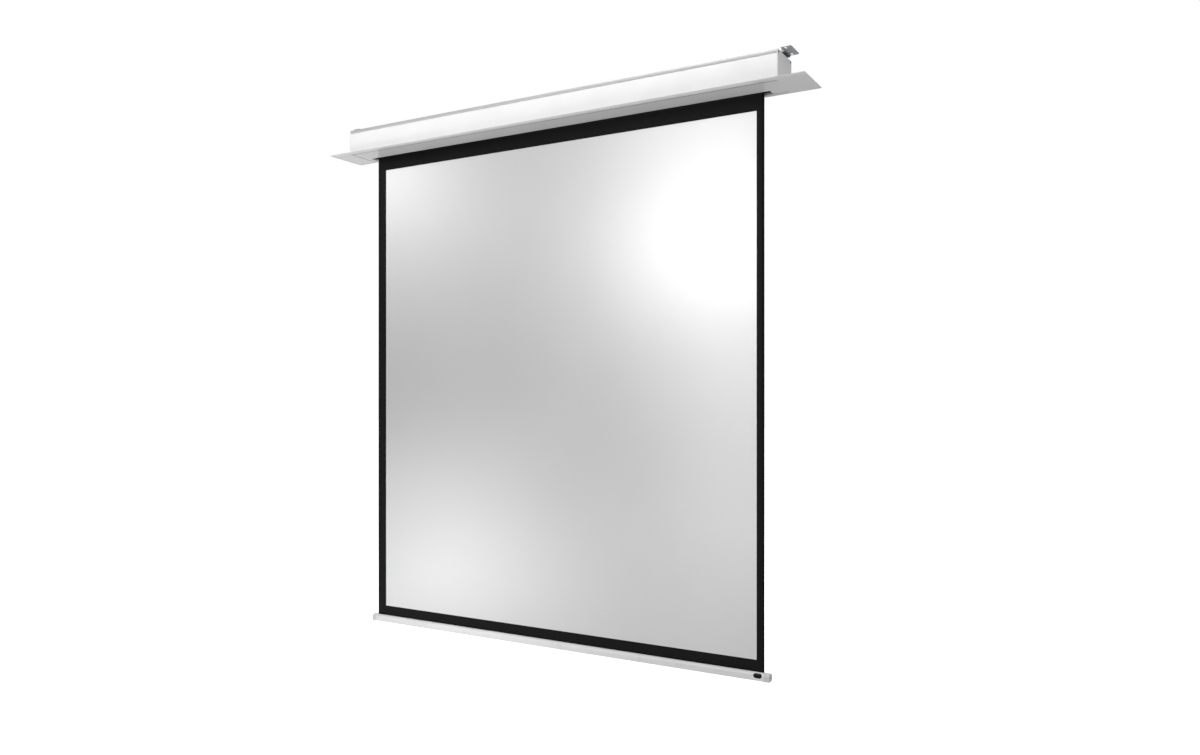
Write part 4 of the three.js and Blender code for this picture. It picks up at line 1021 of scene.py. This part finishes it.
def makeLead():
    # each ring stands square to the route: its axes are the tangent crossed with +Z and with that again
    route = leadRoute()
    tangent = np.gradient(route, axis=0)
    tangent /= np.linalg.norm(tangent, axis=1, keepdims=True)
    sideways = np.cross(tangent, (0, 0, 1))
    sideways /= np.linalg.norm(sideways, axis=1, keepdims=True)
    upwards = np.cross(sideways, tangent)
    ring = circle((0, 0), lead["diameter"] / 2, lead["sides"])[None]
    grid = route[:, None] + ring[..., :1] * sideways[:, None] + ring[..., 1:] * upwards[:, None]
    piece = makePiece("leadCord", [capped(grid)], "lead_rubber", "motor_lead", sharp=50)


makeLead()
print("lead laid")

# Tag on the bar: a plain pill wrapped over its front, an arc length s down the section from the crown
tag = {
    "x": 0.9775, "length": 0.035, "width": 0.0195, "start": (-0.011, -2.3634), "thickness": 0.0006,
    "sink": 0.0003, "clear": 0.00005, "inner": (0.02, 0.9, 12), "outer": (0.92, 1, 6), "flatness": 8,
    "sectionSteps": (200, 20), "endSteps": 22,
}


def makeTag():
    # share r of the pill's outline, lifted off the bar by thickness (1 - r^flatness)
    section = barSection(0, *tag["sectionSteps"])
    run = np.concatenate([[0], np.cumsum(np.linalg.norm(np.diff(section, axis=0), axis=1))])
    first = run[int(np.argmin(np.abs(section - tag["start"]).sum(1)))]
    slope = np.gradient(section, axis=0)
    slope /= np.linalg.norm(slope, axis=1, keepdims=True)
    pill = stadium(0, 0, tag["length"] / 2, tag["width"] / 2, tag["endSteps"])
    inner, outer = np.linspace(*tag["inner"]), np.linspace(*tag["outer"])
    share = np.concatenate([inner, outer, [outer[-1], inner[0]]])[:, None]
    lift = tag["thickness"] * (1 - share ** tag["flatness"]) + tag["clear"]
    lift[-2:] = -tag["sink"]
    s = first + share * pill[:, 1] + tag["width"] / 2
    y, z, slopeY, slopeZ = (np.interp(s, run, row) for row in (*section.T, *slope.T))
    grid = np.stack([tag["x"] + share * pill[:, 0], y + lift * slopeZ, z - lift * slopeY], -1)
    makePiece("plainTag", [capped(grid)], "black_plastic", None, "bar", "tagGloss", sharp=40)


makeTag()
print("tag fixed")

# Studio: a pale floor that is clear from below, under a white surround that is brighter in front of the screen
studio = {
    "floorZ": -2.75, "floorHalf": 40, "floorTone": 0.8, "floorGlow": 0.95,
    "surroundFront": 0.42, "surroundBack": 0.2, "turnover": 0.2, "backdrop": 1.0,
}


def makeFloor():
    half, z = studio["floorHalf"], studio["floorZ"]
    corners = [(*corner, z) for corner in rectangle((-half, half), (-half, half))]
    mesh, floor = meshed("floor", corners, [(0, 1, 2, 3)])
    finish, tree, shader = blankFinish("floorPaint", {
        "Roughness": 0.9, "Specular IOR Level": 0.2, "Base Color": shaded((1, 1, 1), studio["floorTone"]),
        "Emission Color": (1, 1, 1, 1),
    })
    seen = put(tree, "ShaderNodeLightPath", (-600, -200)).outputs["Is Camera Ray"]
    glow = reckon(tree, "MULTIPLY", (-300, -200), seen, studio["floorGlow"])
    tree.links.new(glow, shader.inputs["Emission Strength"])
    mix = put(tree, "ShaderNodeMixShader", (300, 100), {
        "Fac": put(tree, "ShaderNodeNewGeometry", (0, 300)).outputs["Backfacing"],
        1: shader.outputs["BSDF"],
        2: put(tree, "ShaderNodeBsdfTransparent", (0, -500)).outputs["BSDF"],
    })
    tree.links.new(mix.outputs["Shader"], tree.nodes["Material Output"].inputs["Surface"])
    mesh.materials.append(finish)


def makeSurround():
    world = bpy.data.worlds.new("surround")
    scene.world = world
    world.use_nodes = True
    tree = world.node_tree
    direction = put(tree, "ShaderNodeTexCoord", (-1200, 0)).outputs["Generated"]
    y = put(tree, "ShaderNodeSeparateXYZ", (-1000, 0), {"Vector": direction}).outputs["Y"]
    tones, turnover = (studio["surroundFront"], studio["surroundBack"]), studio["turnover"]
    around = ranged(tree, y, (-turnover, turnover), tones, (-800, 0))
    seen = put(tree, "ShaderNodeLightPath", (-600, 200)).outputs["Is Camera Ray"]
    strength = put(tree, "ShaderNodeMix", (-300, 100), {"Factor": seen, "A": around, "B": studio["backdrop"]})
    glow = tree.nodes["Background"]
    glow.inputs["Color"].default_value = (1, 1, 1, 1)
    tree.links.new(strength.outputs["Result"], glow.inputs["Strength"])


makeFloor()
makeSurround()

# Each spot of the cloth with (x, z, watts) has a softbox where the camera would see its mirror image in it
sheen = {"reach": 0.55, "size": (0.6, 0.6), "spots": [
    (-0.95, -0.2, 8.1), (-0.95, -0.7, 1.4), (-0.95, -1.75, 1.3), (-0.95, -2.2, 1.7), (-0.45, -1.75, 1.7),
    (-0.45, -2.2, 5.7), (0.1, -2.2, 1.5), (0.6, -0.2, 1.7), (0.6, -0.7, 3.4), (0.95, -0.2, 3.5), (0.95, -0.7, 6.4),
    (0.95, -1.25, 2.3), (0.95, -1.75, 2.0), (0.95, -2.2, 0.8),
]}
lamps = {
    "keyLeft": dict(on="body", place=(-3.5, -4.5, 0.0), aim=(-0.5, 0, -0.1), size=(2.5, 2.5), power=21),
    "keyRight": dict(on="body", place=(2.8, -5.0, 0.3), aim=(0.6, 0, -0.1), size=(2.5, 2.5), power=8),
    "lowLeft": dict(on="upper", place=(-2.6, -1.8, -2.4), aim=(-1.1, 0, -0.1), size=(1.2, 1.2), power=44),
    "overhead": dict(on="body", place=(0, -1.5, 2.5), aim=(0, 0, 0), size=(3, 3), power=95),
    "rightSide": dict(on="upper", place=(5, -1, 0.5), aim=(1.1, 0, -0.1), size=(2, 2), power=33),
    "backLeft": dict(on="body", place=(-4.2, 3.2, -1.6), aim=(-0.8, 0, -0.2), size=(3, 2), power=5.7),
    "barLeft": dict(on="bar", place=(-0.52, -2.4, -2.3), aim=(-0.52, 0, -2.38), size=(0.8, 0.4), power=1.15,
                    spread=47),
    "rearFill": dict(on="body", place=(-0.5, 4.0, 2.5), aim=(0, 0, -0.5), size=(3, 3), power=110, mirrored=False),
}
for spotX, spotZ, watts in sheen["spots"]:
    spot, mirrored = np.array([spotX, 0, spotZ]), np.array(viewer["place"]) * (1, -1, 1)
    place = tuple(spot + sheen["reach"] * (spot - mirrored))
    lampName = "sheen%03d%03d" % (100 * spotX + 500, -100 * spotZ)
    lamps[lampName] = dict(on="cloth", place=place, aim=tuple(spot), size=sheen["size"], power=watts)


def makeReceivers(name, pieces, state):
    # a lamp with this collection lights these pieces alone, or everything but them
    receivers = bpy.data.collections.new(name)
    for piece in pieces:
        receivers.objects.link(piece)
    for entry in receivers.collection_objects:
        entry.light_linking.link_state = state
    return receivers


barPieces = [bpy.data.objects[name] for name in ("barProfile", "barEndLeft", "barEndRight")]
# What the lamps of each kind light; those that exclude light the floor as well
lit = {
    "cloth": makeReceivers("clothAlone", clothPieces, "INCLUDE"),
    "bar": makeReceivers("barAlone", barPieces, "INCLUDE"),
    "body": makeReceivers("allButCloth", clothPieces, "EXCLUDE"),
    "upper": makeReceivers("caseAndHangers", clothPieces + barPieces, "EXCLUDE"),
}


def makeLamp(name, facts):
    light = bpy.data.lights.new(name, "AREA")
    light.shape = "RECTANGLE"
    light.size, light.size_y = facts["size"]
    light.energy = facts["power"]
    light.spread = math.radians(facts.get("spread", 180))
    lamp = bpy.data.objects.new(name, light)
    lamp.location = facts["place"]
    lamp.rotation_euler = (Vector(facts["aim"]) - Vector(facts["place"])).to_track_quat("-Z", "Y").to_euler()
    lamp.visible_camera = False
    lamp.visible_glossy = facts.get("mirrored", True)
    lamp.light_linking.receiver_collection = lit[facts["on"]]
    scene.collection.objects.link(lamp)


for lampName, facts in lamps.items():
    makeLamp(lampName, facts)
print("studio lit")
